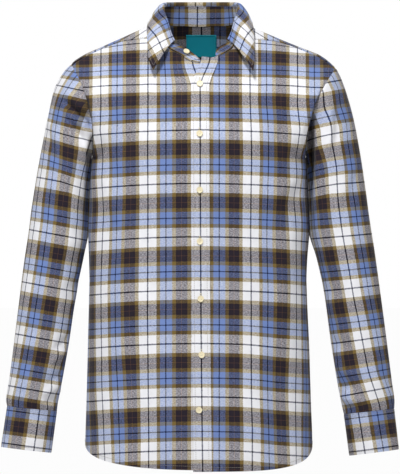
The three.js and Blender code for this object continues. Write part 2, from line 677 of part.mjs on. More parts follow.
// The stand at one place round the neck: its foot, the way up and the way out.
function stand(t) {
  const side = t < 0 ? RIGHT : LEFT;
  const seam = seamPoint(t);
  const along = seamPoint(Math.min(t + 0.02, 1)).sub(seamPoint(Math.max(t - 0.02, -1))).normalize();
  const get = (column) => follow(NECK[wearer(side)], 't', column, Math.abs(t));
  const full = new THREE.Vector3(side * get('standX'), get('standY'), get('standZ'));
  const up = full.clone().sub(seam).normalize();
  const out = up.clone().cross(along).normalize();
  const end = NECK_STOPS[side][NECK_STOPS[side].length - 1];
  const past = clamp((Math.abs(t) - end + 0.07) / 0.07, 0, 1);
  const foot = seam.clone().addScaledVector(up, 0.95).addScaledVector(out, FIRM * smooth(0.56, 0.7, Math.abs(t)));
  const top = foot.clone().lerp(full, 0.35 + 0.65 * Math.sqrt(1 - past * past));
  return { foot, top, up, out };
}
function standStops() {
  const half = (side) => {
    const stops = NECK_STOPS[side];
    const end = stops[stops.length - 1];
    const list = [];
    stops.slice(0, -1).forEach((t, i) => list.push(t, mix(t, stops[i + 1], 0.5)));
    list.push(mix(stops[stops.length - 2], end, 0.8), end);
    return list;
  };
  return [...half(RIGHT).slice(1).reverse().map((t) => -t), 0, ...half(LEFT).slice(1)];
}
function standGrid() {
  const all = standStops().map(stand);
  const grid = [0, 1, 2].map((j) => all.map(({ foot, top }) => foot.clone().lerp(top, j / 2)));
  return mirrorRows(grid);
}

// The leaf of the collar: up from the top of the stand, over the fold and down to its outer edge.
const LEAF_END = 0.8;
function leafPlace(t) {
  const side = t < 0 ? RIGHT : LEFT;
  const { top, up, out } = stand(t);
  const get = (column) => follow(LEAF[wearer(side)], 't', column, Math.abs(t));
  const edge = new THREE.Vector3(side * get('edgeX'), get('edgeY'), get('edgeZ'));
  const high = 7 - 2.5 * smooth(0.5, LEAF_END, Math.abs(t));
  const at = (rise, push) => top.clone().addScaledVector(up, rise).addScaledVector(out, push);
  const over = at(high - 3, 4.15 + 1.2 * smooth(0.62, LEAF_END, Math.abs(t)));
  return { base: at(1.15 + 0.9 * smooth(0.6, 0.7, Math.abs(t)), -1.7), inner: at(high - 1.9, -1.9), fold: at(high, -0.2), turn: at(high - 0.8, 2), over, edge };
}
function leafGrid() {
  const stops = [0.8, 0.785, 0.765, 0.74, 0.71, 0.67, 0.62, 0.57, 0.52, 0.47, 0.42, 0.36, 0.29, 0.21, 0.11];
  const all = [...stops.map((t) => -t), 0, ...[...stops].reverse()];
  const columns = all.map((t) => {
    const now = leafPlace(t);
    const along = leafPlace(Math.min(t + 0.02, LEAF_END)).edge.sub(leafPlace(Math.max(t - 0.02, -LEAF_END)).edge);
    const fall = now.edge.clone().sub(now.over);
    const away = along.cross(fall).normalize();
    const bulge = (f, push) => now.over.clone().lerp(now.edge, f).addScaledVector(away, push);
    const clear = smooth(0.62, LEAF_END, Math.abs(t));
    return [now.base, now.inner, now.fold, now.turn, now.over,
      bulge(0.15, 1.4 + 4 * clear), bulge(0.36, 2.4 + 5.5 * clear), bulge(0.68, 2 + 3.5 * clear), now.edge];
  });
  return columns[0].map((_, j) => columns.map((line) => line[j]));
}

function placketGrid() {
  const rows = 30;
  const grid = [];
  const topOf = (x) => neckZ(LEFT, clamp(frontNeckEnd(LEFT, () => x).t, JOIN, 1));
  for (let j = 0; j <= rows; j += 1) {
    const line = [];
    for (let i = 0; i <= 2; i += 1) {
      const across = i - 1;
      let z = 0;
      let x = 0;
      const lowZ = hemZ(LEFT, -1, 0) - 0.4;
      let highZ = -54;
      for (let k = 0; k < 4; k += 1) highZ = topOf(placketMiddle(highZ) + across * PLACKET_HALF(highZ));
      z = mix(lowZ, highZ, j / rows);
      x = placketMiddle(z) + across * PLACKET_HALF(z);
      line.push(bodyPoint(-1, gOf(-1, x, z), z));
    }
    grid.push(line);
  }
  return grid;
}

// The neck label lies on the inside of the yoke, hanging from the neck seam.
function labelGrid() {
  const grid = [];
  for (let j = 0; j <= 3; j += 1) {
    const line = [];
    for (let i = 0; i <= 4; i += 1) {
      const x = mix(-22.9, 28.6, i / 4);
      const z = mix(-49.3, -11.9, j / 3);
      line.push(bodyPoint(1, gOf(1, x, z), z));
    }
    grid.push(line);
  }
  return mirrorRows(grid);
}

// A four-hole shirt button, standing on z = 0.
function buttonGeometry(radius = 5.5, high = 2.6) {
  const sides = 20;
  const rings = [
    { r: radius * 0.82, z: 0 },
    { r: radius * 0.98, z: high * 0.3 },
    { r: radius, z: high * 0.65 },
    { r: radius * 0.93, z: high },
    { r: radius * 0.76, z: high * 0.95 },
    { r: radius * 0.62, z: high * 0.68 },
  ];
  const ring = (r) => [...Array(sides)].map((_, i) => new THREE.Vector2(
    r * Math.cos((2 * Math.PI * i) / sides), r * Math.sin((2 * Math.PI * i) / sides)));
  const holes = [[1, 1], [-1, 1], [-1, -1], [1, -1]].map(([a, b]) => [...Array(6)].map((_, i) => new THREE.Vector2(
    a * radius * 0.2 + radius * 0.105 * Math.cos((-Math.PI * i) / 3),
    b * radius * 0.2 + radius * 0.105 * Math.sin((-Math.PI * i) / 3))));
  const points = [];
  const faces = [];
  rings.forEach(({ r, z }) => ring(r).forEach((p) => points.push(new THREE.Vector3(p.x, p.y, z))));
  for (let k = 0; k < rings.length - 1; k += 1) {
    for (let i = 0; i < sides; i += 1) {
      const [a, b] = [k * sides + i, k * sides + ((i + 1) % sides)];
      faces.push(a, b, b + sides, a, b + sides, a + sides);
    }
  }
  const holeStart = points.length;
  holes.forEach((hole) => hole.forEach((p) => points.push(new THREE.Vector3(p.x, p.y, 0))));
  holes.forEach((hole) => hole.forEach((p) => points.push(new THREE.Vector3(p.x, p.y, rings[5].z))));
  const cap = (outerStart, outer, holesAt, flip) => {
    const shapes = THREE.ShapeUtils.triangulateShape(outer, holes);
    const id = (n) => (n < sides ? outerStart + n : holesAt + n - sides);
    shapes.forEach(([a, b, c]) => (flip ? faces.push(id(a), id(c), id(b)) : faces.push(id(a), id(b), id(c))));
  };
  cap((rings.length - 1) * sides, ring(rings[5].r), holeStart + 24, false);
  cap(0, ring(rings[0].r), holeStart, true);
  for (let h = 0; h < 4; h += 1) {
    for (let i = 0; i < 6; i += 1) {
      const [a, b] = [holeStart + h * 6 + i, holeStart + h * 6 + ((i + 1) % 6)];
      faces.push(a, b, b + 24, a, b + 24, a + 24);
    }
  }
  return { points, faces };
}

// A button set on a surface point, facing out of it.
function button(name, at, out, lift) {
  const { points, faces } = buttonGeometry();
  const turn = new THREE.Quaternion().setFromUnitVectors(new THREE.Vector3(0, 0, 1), out);
  const move = at.clone().addScaledVector(out, lift);
  return meshOf(name, points.map((p) => p.clone().applyQuaternion(turn).add(move)), faces);
}

// Facing of a surface at a point, from two short steps along it.
function outward(place, a, b, step) {
  const u = place(a + step, b).sub(place(a - step, b));
  const v = place(a, b + step).sub(place(a, b - step));
  return u.cross(v).normalize();
}

const frontFacing = (x, z) => outward((a, b) => bodyPoint(-1, gOf(-1, a, b), b), x, z, 2);

function build() {
  const shirt = new THREE.Group();
  shirt.name = 'flannel_shirt';
  shirt.add(cloth('front_right', frontGrid(RIGHT, underEdge), { out: bodyFacing }));
  shirt.add(cloth('front_left', frontGrid(LEFT, overEdge), { out: bodyFacing }));
  shirt.add(cloth('front_placket', placketGrid(), { thick: FIRM, raise: FIRM + 0.9, gap: 0.3, out: bodyFacing }));
  shirt.add(cloth('back', backGrid(), { out: bodyFacing }));
  shirt.add(cloth('yoke', yokeGrid(), { out: bodyFacing }));
  for (const side of [RIGHT, LEFT]) {
    const name = wearer(side);
    shirt.add(cloth(`sleeve_${name}`, sleeveGrid(side), { around: true, gap: 0.35, first: bodyFacing }));
    shirt.add(cloth(`cuff_${name}`, cuffGrid(side), { thick: FIRM, gap: 0.15 }));
    shirt.add(cloth(`sleeve_placket_${name}`, sleevePlacketGrid(side), { thick: 1.4, raise: 2.2, gap: 0 }));
    const place = (angle, s) => tubePoint(CUFF, side, s, angle, 3.2);
    const out = place(LAP, 0.5).sub(new THREE.Vector3(side * 290, -15.5, -684)).setZ(0).normalize();
    shirt.add(button(`cuff_button_${name}`, place(LAP + 0.1, 0.5), out, 0.7));
  }
  shirt.add(cloth('collar_stand', standGrid(), { thick: FIRM, gap: 0 }));
  shirt.add(cloth('collar_leaf', leafGrid(), { thick: 1.5, gap: 0 }));
  shirt.add(cloth('neck_label', labelGrid(), { thick: 1, raise: -WALL - 0.7, gap: 0, out: bodyFacing }));
  for (const row of FRONT_BUTTONS) {
    shirt.add(button(row.name, bodyPoint(-1, gOf(-1, row.x, row.z), row.z), frontFacing(row.x, row.z), FIRM + 1.3));
  }
  const end = stand(-0.915);
  shirt.add(button('button_collar', end.foot.clone().lerp(end.top, 0.52), end.out, 0.9));
  return shirt;
}

export default build();
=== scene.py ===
"""A long-sleeved flannel shirt with no wearer: its cloth, check, stitching, buttons, light and camera.

The tables are in millimetres, as the part's own are, and every object is made in metres.
"""

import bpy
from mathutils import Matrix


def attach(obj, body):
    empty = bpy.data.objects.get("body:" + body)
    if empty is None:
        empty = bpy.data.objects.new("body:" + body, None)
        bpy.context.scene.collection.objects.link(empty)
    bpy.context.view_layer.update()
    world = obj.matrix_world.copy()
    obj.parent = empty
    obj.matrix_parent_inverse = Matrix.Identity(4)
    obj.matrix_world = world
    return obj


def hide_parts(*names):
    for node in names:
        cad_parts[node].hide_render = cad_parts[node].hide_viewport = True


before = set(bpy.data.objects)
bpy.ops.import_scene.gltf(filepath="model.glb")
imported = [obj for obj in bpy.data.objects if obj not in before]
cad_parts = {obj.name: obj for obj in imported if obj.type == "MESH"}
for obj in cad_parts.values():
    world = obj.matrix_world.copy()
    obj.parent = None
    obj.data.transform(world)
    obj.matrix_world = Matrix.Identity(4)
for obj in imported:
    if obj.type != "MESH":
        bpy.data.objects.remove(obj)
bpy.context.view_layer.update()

import logging
import math
from collections.abc import Callable, Sequence
from dataclasses import dataclass
from enum import Enum, IntEnum
from typing import Any

import bpy
import numpy as np
from mathutils import Vector

log = logging.getLogger("flannel_shirt")

Array = np.ndarray
Number = float | np.ndarray


class Side(IntEnum):
    """The wearer's sides, each with the way it lies along X."""

    RIGHT = -1
    LEFT = 1

    @property
    def word(self) -> str:
        """The side as the nodes are named."""
        return self.name.lower()


class Face(IntEnum):
    """The front and the back of the body, each with the way it lies along Y."""

    FRONT = -1
    BACK = 1


class Edge(Enum):
    """The edges of a piece's surface: its first and last rows, then its first and last columns."""

    LOW = "low"
    HIGH = "high"
    FIRST = "first"
    LAST = "last"


RIGHT, LEFT = Side.RIGHT, Side.LEFT
FRONT, BACK = Face.FRONT, Face.BACK
MM = 0.001
UNDERARM = -222.0

# Where on the neck seam the yoke's front seam starts.
JOIN = 0.7

# The angle round the wrist at which a cuff's ends lap.
LAP = 1.3 * math.pi

# One repeat of the check, across and along.
REPEAT = 90.2


# Curves through tables

class Curve:
    """A smooth line through a table's rows, with no overshoot between them."""

    def __init__(self, at: Sequence[float], value: Sequence[float]) -> None:
        """Finds the line's slopes.

        Args:
            at: the places.
            value: the value at each.
        """
        order = np.argsort(at)
        self.at = np.asarray(at, float)[order]
        self.value = np.asarray(value, float)[order]
        slope = np.diff(self.value) / np.diff(self.at)
        a, b = slope[:-1], slope[1:]
        same = a * b > 0
        below = np.where(same, a + b + np.maximum(abs(a), abs(b)) * np.sign(a), 1)
        middle = np.where(same, 3 * a * b / below, 0)
        self.tangent = np.concatenate([slope[:1], middle, slope[-1:]])

    def __call__(self, at: Number) -> Array:
        """The line's value.

        Args:
            at: the places.

        Returns:
            A value for each place, held level past the ends.
        """
        p = np.clip(at, self.at[0], self.at[-1])
        i = np.clip(np.searchsorted(self.at, p) - 1, 0, len(self.at) - 2)
        h = self.at[i + 1] - self.at[i]
        f = (p - self.at[i]) / h
        f2, f3 = f * f, f * f * f
        return (
            (2 * f3 - 3 * f2 + 1) * self.value[i]
            + (f3 - 2 * f2 + f) * h * self.tangent[i]
            + (3 * f2 - 2 * f3) * self.value[i + 1]
            + (f3 - f2) * h * self.tangent[i + 1]
        )


def table(key: str, columns: str, rows: Sequence[tuple[float, ...]]) -> dict[str, Curve]:
    """Curves through a table's columns.

    Args:
        key: the column that the others follow.
        columns: the names of the columns, in order.
        rows: the table's rows.

    Returns:
        A curve for each other column, by its name.
    """
    names = columns.split()
    data = np.array(rows, float)
    at = data[:, names.index(key)]
    return {n: Curve(at, data[:, i]) for i, n in enumerate(names) if n != key}


def smooth(lo: float, hi: float, v: Number) -> Array:
    """0 below lo, 1 above hi and an easy step between."""
    f = np.clip((np.asarray(v, float) - lo) / (hi - lo), 0, 1)
    return f * f * (3 - 2 * f)


def mix(a: Number, b: Number, f: Number) -> Number:
    """The place a share f of the way from a to b."""
    return a + (b - a) * f


def unit(v: Array) -> Array:
    """Vectors along the last axis, each made one long."""
    return v / np.maximum(np.linalg.norm(v, axis=-1, keepdims=True), 1e-9)


# Sizes of the shirt, as its frame has them

SHOULDER = table("x", "x right left", [
    (0, 15, 15), (25, 14.5, 14.5), (50, 12, 12), (72, 8, 8), (94, -1.5, -2.8), (110, -8.5, -9.4),
    (125, -15.3, -15.6), (140, -22, -22), (156, -29, -28.6), (171, -35.7, -34.5), (188, -42.8, -41),
    (200, -49.3, -45.8), (210, -55.5, -51.5), (219, -63, -58.3), (232, -74, -70),
])
TORSO = table("z", "z front back power", [
    (15, 12, 47, 2.15), (0, 25, 56, 2.15), (-20, 40, 66, 2.2), (-40, 52, 75, 2.2), (-62, 63, 84, 2.25),
    (-100, 84, 98, 2.3), (-150, 102, 111, 2.4), (-200, 112, 115, 2.5), (-300, 113, 109, 2.6),
    (-400, 111, 104, 2.6), (-500, 113, 106, 2.5), (-600, 120, 112, 2.35), (-700, 128, 118, 2.2),
    (-770, 132, 121, 2.15),
])
SIDE = table("z", "z right left", [
    (-222, 183, 180), (-280, 183.5, 180), (-345, 185, 182), (-400, 186.5, 181), (-457, 188, 182.4),
    (-539, 190, 185.8), (-620, 192, 188), (-702, 194.5, 191), (-770, 195.5, 192.5),
])
TIP_X = {RIGHT: 219.0, LEFT: 232.0}
TIP_Z = {RIGHT: -63.0, LEFT: -70.0}
LOW_X = {RIGHT: 183.0, LEFT: 180.0}
ARMHOLE_DEEP = 67.0
ARMHOLE_BOW = {FRONT: 15.0, BACK: 8.0}
YOKE_DROP = table("x", "x drop", [(65, 27.6), (93, 18.5), (118, 10), (136, 5), (156, 3.4), (232, 3.4)])
NECK = {
    RIGHT: table("t", "t x lean standX standY standZ", [
        (0, 0, 0.374, 0, 50, 36), (0.2, 38, 0.33, 34, 44, 36), (0.38, 64, 0.207, 56, 24, 35.5),
        (0.5, 72.5, 0, 64, 3, 33), (0.6, 71, -0.35, 62.5, -12, 23), (0.7, 65, -0.525, 56, -24, 7),
        (0.8, 53, -0.69, 44, -34, -27), (0.9, 31, -0.794, 23, -38, -36), (0.96, 15, -0.859, 10, -42, -45),
        (1, -1, -0.877, -3, -44, -50),
    ]),
    LEFT: table("t", "t x lean standX standY standZ", [
        (0, 0, 0.374, 0, 50, 36), (0.2, 38, 0.33, 36, 44, 36), (0.38, 64, 0.207, 60, 24, 35.5),
        (0.5, 72.5, 0, 68, 3, 33), (0.6, 71, -0.35, 66, -12, 23), (0.7, 65, -0.525, 60, -24, 8),
        (0.8, 55, -0.69, 49, -34, -25), (0.9, 37, -0.785, 31, -37, -34), (0.96, 19, -0.825, 16, -40, -42),
        (1, 5, -0.818, 7, -42, -44),
    ]),
}
LEAF = {
    RIGHT: table("t", "t edgeX edgeY edgeZ", [
        (0, 0, 70, -3), (0.2, 49, 60, -1), (0.38, 79, 34, 1.5), (0.5, 89, 3, 4), (0.6, 90, -24, -5),
        (0.7, 88.5, -49, -32), (0.75, 86.5, -67, -56), (0.8, 79, -81, -74),
    ]),
    LEFT: table("t", "t edgeX edgeY edgeZ", [
        (0, 0, 70, -3), (0.2, 50, 60, -1), (0.38, 80, 34, 1.5), (0.5, 90, 3, 4), (0.6, 92, -24, -5),
        (0.7, 93, -49, -32), (0.75, 93, -67, -57), (0.8, 91, -81, -75),
    ]),
}
SLEEVE = {
    RIGHT: table("s", "s outX outZ inX inZ deep ahead bow", [
        (0, 219, -63, 183.4, UNDERARM, 67, 0, 1), (0.04, 233.5, -80, 185, -236, 67, 0, 0.8),
        (0.1, 248, -108, 187, -260, 65.5, 0, 0.5), (0.2, 259, -158, 189.5, -297, 62, 1, 0.15),
        (0.32, 271.5, -222, 191.5, -342, 57, 3, 0), (0.45, 284.5, -300, 198.5, -392, 53, 6, 0),
        (0.6, 298, -396, 209.5, -451, 50, 9, 0), (0.76, 311, -500, 221, -530, 46, 12, 0),
        (0.9, 323.5, -598, 236, -614, 42, 14, 0), (0.97, 328.8, -634, 241.5, -643, 39, 15, 0),
        (1, 327.3, -644, 242.6, -652.4, 36.5, 15, 0),
    ]),
    LEFT: table("s", "s outX outZ inX inZ deep ahead bow", [
        (0, 232, -70, 180.4, UNDERARM, 67, 0, 1), (0.04, 241.5, -90, 182, -236, 67, 0, 0.8),
        (0.1, 250, -114, 184, -260, 65.5, 0, 0.5), (0.2, 262, -158, 186, -297, 62, 1, 0.15),
        (0.32, 274, -222, 188.5, -345, 57, 3, 0), (0.45, 285.5, -300, 200, -394, 53, 6, 0),
        (0.6, 299.5, -396, 211.5, -453, 50, 9, 0), (0.76, 313.5, -500, 222.5, -533, 46, 12, 0),
        (0.9, 326, -598, 236.5, -618, 42, 14, 0), (0.97, 331, -637, 242.5, -648, 39, 15, 0),
        (1, 330.5, -648, 244.8, -657.5, 36.5, 15, 0),
    ]),
}
CUFF = {
    RIGHT: table("s", "s outX outZ inX inZ deep ahead", [
        (0, 327, -644.1, 242.7, -652.5, 36, 15), (1, 337.4, -713.5, 252.1, -723.4, 35, 16),
    ]),
    LEFT: table("s", "s outX outZ inX inZ deep ahead", [
        (0, 330.2, -648.1, 244.9, -657.6, 36, 15), (1, 338.2, -717.5, 254.2, -728.3, 35, 16),
    ]),
}


def pick(side: Number, right: Number, left: Number) -> Array:
    """The right value where side is the wearer's right, else the left one."""
    return np.where(np.asarray(side) < 0, right, left)


def ridge(side: Number, x: Number) -> Array:
    """Height of the shoulder line at a half-width."""
    return pick(side, SHOULDER["right"](abs(x)), SHOULDER["left"](abs(x)))


REACH_X = np.linspace(0, 232, 3000)
REACH_Z = {side: SHOULDER[side.word](REACH_X) for side in (RIGHT, LEFT)}


def ridge_reach(side: Number, z: Number) -> Array:
    """The half-width at which the shoulder line is at a height."""
    reach = {s: np.interp(z, REACH_Z[s][::-1], REACH_X[::-1]) for s in (RIGHT, LEFT)}
    return pick(side, reach[RIGHT], reach[LEFT])


def armhole_at(side: Number, face: Number, z: Number) -> tuple[Array, Array]:
    """Half-width and depth of the armhole seam at a height.

    Args:
        side: the wearer's side.
        face: the front or the back of the body.
        z: the height.

    Returns:
        The half-width and the depth.
    """
    tip_x, tip_z = pick(side, TIP_X[RIGHT], TIP_X[LEFT]), pick(side, TIP_Z[RIGHT], TIP_Z[LEFT])
    low_x = pick(side, LOW_X[RIGHT], LOW_X[LEFT])
    down = np.clip((tip_z - z) / (tip_z - UNDERARM), 0, 1)
    full = 1 - (2 * down - 1) ** 2
    bow = np.where(np.asarray(face) < 0, ARMHOLE_BOW[FRONT], ARMHOLE_BOW[BACK])
    return mix(tip_x, low_x, down) - bow * full, ARMHOLE_DEEP * np.sqrt(np.maximum(full, 0))


def section(side: Number, face: Number, z: Number) -> tuple[Array, Array, Array]:
    """Half-width, depth and power of a level section of the body.

    Args:
        side: the wearer's side.
        face: the front or the back of the body.
        z: the height.

    Returns:
        The half-width, the depth and the power.
    """
    side, face, z = np.broadcast_arrays(side, face, np.asarray(z, float))
    power = TORSO["power"](z)
    deep = np.where(face < 0, TORSO["front"](z), TORSO["back"](z))
    x, y = armhole_at(side, face, z)
    seam = x / (1 - np.clip(y / deep, 0, 0.98) ** power) ** (1 / power)
    low = pick(side, SIDE["right"](z), SIDE["left"](z))
    tip = pick(side, TIP_Z[RIGHT], TIP_Z[LEFT])
    wide = np.where(z >= tip, ridge_reach(side, z), np.where(z <= UNDERARM, low, seam))
    return wide, deep, power


def side_of(x: Number) -> Array:
    """The wearer's side that a place is on."""
    return np.where(np.asarray(x) < 0, RIGHT, LEFT)


def body_point(face: Number, g: Number, z: Number) -> Array:
    """The body surface at a height, where g is 0 at the centre and 1 at the side.

    Args:
        face: the front or the back of the body.
        g: the place across, 0 at the centre and 1 or -1 at a side.
        z: the height.

    Returns:
        The points, in millimetres.
    """
    g, z = np.broadcast_arrays(np.asarray(g, float), np.asarray(z, float))
    side = side_of(g)
    wide, deep, power = section(side, face, z)
    share = np.sin(math.pi / 2 * np.minimum(abs(g), 1))
    y = deep * np.maximum(0, 1 - share ** power) ** (1 / power)
    return np.stack([side * wide * share, face * y, z], -1)


def g_of(face: Number, x: Number, z: Number) -> Array:
    """The body's own measure across, at a place seen from the front.

    Args:
        face: the front or the back of the body.
        x: the place across from the centre line.
        z: the height.

    Returns:
        The measure, 0 at the centre and 1 or -1 at a side.
    """
    side = side_of(x)
    wide = section(side, face, z)[0]
    return side * (2 / math.pi) * np.arcsin(np.clip(abs(x) / wide, 0, 1))


def lean_point(x: Array, lean: Array) -> Array:
    """The body surface over the shoulder, where lean is 0 on the shoulder line and negative before it.

    Args:
        x: the place across from the centre line.
        lean: the place over the shoulder.

    Returns:
        The points, in millimetres.
    """
    side = side_of(x)
    z = ridge(side, x) - 100 * lean * lean
    wide, deep, power = section(side, np.where(lean < 0, FRONT, BACK), z)
    y = deep * np.maximum(0, 1 - np.clip(abs(x) / wide, 0, 1) ** power) ** (1 / power)
    return np.stack([x + 0 * y, np.where(lean < 0, -y, y), z], -1)


def body_facing(p: Array) -> Array:
    """The direction straight out of the body at places on or near it.

    Args:
        p: the places, in millimetres.

    Returns:
        One direction for each place.
    """
    side, face = side_of(p[..., 0]), np.where(p[..., 1] < 0, FRONT, BACK)

    def fullness(x: Array, y: Array, z: Array) -> Array:
        """1 on the body, less inside and more outside."""
        wide, deep, power = section(side, face, z)
        return (abs(x) / wide) ** power + (abs(y) / deep) ** power

    step = 0.5
    x, y, z = p[..., 0], p[..., 1], p[..., 2]
    return unit(np.stack([
        fullness(x + step, y, z) - fullness(x - step, y, z),
        fullness(x, y + step, z) - fullness(x, y - step, z),
        fullness(x, y, z + step) - fullness(x, y, z - step),
    ], -1))


def lean_of(x: Array, z: Array, face: Number) -> Array:
    """The measure over the shoulder at a place seen from the front."""
    return face * np.sqrt(np.maximum(0, ridge(side_of(x), x) - z) / 100)


def neck_at(side: Side, t: Number) -> tuple[Array, Array]:
    """Where the neck seam runs, from the back centre (0) to the front end (1)."""
    return side * NECK[side]["x"](t), NECK[side]["lean"](t)


def neck_z(side: Side, t: Number) -> Array:
    """Height of the neck seam."""
    x, lean = neck_at(side, t)
    return ridge(side_of(x), x) - 100 * lean * lean


def yoke_seam_z(side: Number, x: Number) -> Array:
    """Height of the yoke's front seam."""
    return ridge(side, x) - YOKE_DROP["drop"](abs(x))


def back_seam_z(x: Number) -> Number:
    """Height of the yoke's back seam."""
    return -98 - 6 * (x / 200) ** 2


def hem_z(side: Side, face: Face, g: Number) -> Number:
    """Height of the hem from the centre (0) to the side seam (1).

    Args:
        side: the wearer's side.
        face: the front or the back of the body.
        g: the place across, 0 at the centre and 1 or -1 at a side.

    Returns:
        The height.
    """
    f = np.minimum(abs(g), 1)
    if face > 0:
        return -750 + 44 * f ** 2.6
    return -751 + 44 * f ** 2.3 if side == RIGHT else -753.5 + 46 * f ** 3


def placket_middle(z: Number) -> Array:
    """Where the middle of the placket runs."""
    return 0.6 + 4.2 * np.clip((-z - 120) / 630, 0, 1) ** 2 + 16.6 * smooth(-106, -52, z)


def placket_half(z: Number) -> Array:
    """Half the placket's width."""
    return 15.8 - 1.8 * smooth(-100, -50, z)


def under_edge(z: Number) -> Array:
    """The edge of the front that lies under the placket."""
    return 10.5 - 11 * smooth(-104, -58, z)


def over_edge(z: Number) -> Array:
    """The edge of the front that carries the placket."""
    return placket_middle(z) + 10.8


def armhole_ends(side: Side) -> list[float]:
    """Angles round the armhole at which the front and the back yoke seams meet it.

    Args:
        side: the wearer's side.

    Returns:
        The front angle and the back one.
    """
    found = []
    for face in (FRONT, BACK):
        z = np.linspace(UNDERARM, TIP_Z[side], 2000)
        x = armhole_at(side, face, z)[0]
        seam = yoke_seam_z(side, x) if face == FRONT else back_seam_z(x)
        stop = z[np.argmax(z >= seam)]
        angle = np.arccos(np.clip(2 * (stop - UNDERARM) / (TIP_Z[side] - UNDERARM) - 1, -1, 1))
        found.append(math.pi + face * angle)
    return found


def armhole_point(side: Side, angle: Array) -> Array:
    """The armhole seam: the angle starts at the underarm, rises up the front and comes down the back.

    Args:
        side: the wearer's side.
        angle: the angle round it, from the inside past the front.

    Returns:
        The points, in millimetres.
    """
    z = mix(UNDERARM, TIP_Z[side], (1 - np.cos(angle)) / 2)
    face = np.where(angle <= math.pi, FRONT, BACK)
    x, y = armhole_at(side, face, z)
    return np.stack([side * x, face * y, z], -1)


def front_neck_end(side: Side, edge_x: Callable[[Array], Array]) -> tuple[float, float]:
    """Where a front edge meets the neck seam: its place along the seam, and its height.

    Args:
        side: the wearer's side.
        edge_x: gives the place of the front's own edge at a height.

    Returns:
        The place along the neck seam, and the height.
    """
    t = np.linspace(JOIN, 1, 601)
    z = neck_z(side, t)
    best = np.argmin(abs(neck_at(side, t)[0] - edge_x(z)))
    return t[best], z[best]


def tube_point(
    rows: dict[Side, dict[str, Curve]], side: Side, s: Number, angle: Number, lift: Number = 0.0,
) -> Array:
    """A point of a sleeve or cuff, lifted off its surface.

    Args:
        rows: the curves of the sleeves or of the cuffs.
        side: the wearer's side.
        s: the share along it, from the top.
        angle: the angle round it, from the inside past the front.
        lift: how far off its surface the point is.

    Returns:
        The points, in millimetres.
    """
    get = {name: curve(s) for name, curve in rows[side].items()}
    c, sn = np.cos(angle), np.sin(angle)
    mid_x, mid_z = (get["outX"] + get["inX"]) / 2, (get["outZ"] + get["inZ"]) / 2
    bow = 0.0
    if "bow" in get:
        bow = get["bow"] * np.where(sn > 0, ARMHOLE_BOW[FRONT], ARMHOLE_BOW[BACK]) * sn * sn
    half = np.hypot(get["inX"] - get["outX"], get["inZ"] - get["outZ"]) / 2
    grow = 1 + lift / half
    return np.stack([
        side * (mid_x + c * (get["inX"] - mid_x) * grow - bow),
        -get["ahead"] - (get["deep"] + lift) * sn,
        mid_z + c * (get["inZ"] - mid_z) * grow,
    ], -1)


def stand_at(t: Array) -> tuple[Array, Array, Array, Array]:
    """The collar stand round the neck: its foot, its top, the way up and the way out.

    Args:
        t: the place round the neck, 0 at the back centre and 1 or -1 at a front end.

    Returns:
        The four, each with a row for each place.
    """
    side = side_of(t)
    far = abs(t)
    seam = {}
    for key, at in (("here", t), ("next", np.minimum(t + 0.02, 1)), ("last", np.maximum(t - 0.02, -1))):
        both = {s: neck_at(s, abs(at)) for s in (RIGHT, LEFT)}
        x = np.where(at < 0, both[RIGHT][0], both[LEFT][0])
        lean = np.where(at < 0, both[RIGHT][1], both[LEFT][1])
        seam[key] = lean_point(x, lean)
    along = unit(seam["next"] - seam["last"])
    get = {n: pick(side, NECK[RIGHT][n](far), NECK[LEFT][n](far)) for n in ("standX", "standY", "standZ")}
    full = np.stack([side * get["standX"], get["standY"], get["standZ"]], -1)
    up = unit(full - seam["here"])
    out = unit(np.cross(up, along))
    end = np.where(t < 0, STAND_END[RIGHT], STAND_END[LEFT])
    past = np.clip((far - end + 0.07) / 0.07, 0, 1)
    foot = seam["here"] + up * 0.3 + out * (1.9 * smooth(0.56, 0.7, far))[..., None]
    top = mix(foot, full, (0.35 + 0.65 * np.sqrt(1 - past * past))[..., None])
    return foot, top, up, out


STAND_END = {RIGHT: front_neck_end(RIGHT, under_edge)[0], LEFT: front_neck_end(LEFT, over_edge)[0]}


# Grids of the sewn pieces

def blend_grid(u: Array, v: Array, bottom: Array, top: Array, left: Array, right: Array) -> Array:
    """A grid of two measures blended from four edges.

    Args:
        u: shares across, one for each column.
        v: shares up, one for each row.
        bottom: the measures along u in the first row.
        top: those in the last row.
        left: the measures along v in the first column.
        right: those in the last column.

    Returns:
        rows x columns x 2.
    """
    a, b = u[None, :, None], v[:, None, None]
    corner = (1 - a) * (1 - b) * bottom[0] + a * (1 - b) * bottom[-1] + (1 - a) * b * top[0] + a * b * top[-1]
    return (1 - b) * bottom[None] + b * top[None] + (1 - a) * left[:, None] + a * right[:, None] - corner


def pairs(a: Number, b: Number) -> Array:
    """Two lists of measures side by side."""
    a, b = np.broadcast_arrays(a, b)
    return np.stack([a, b], -1)


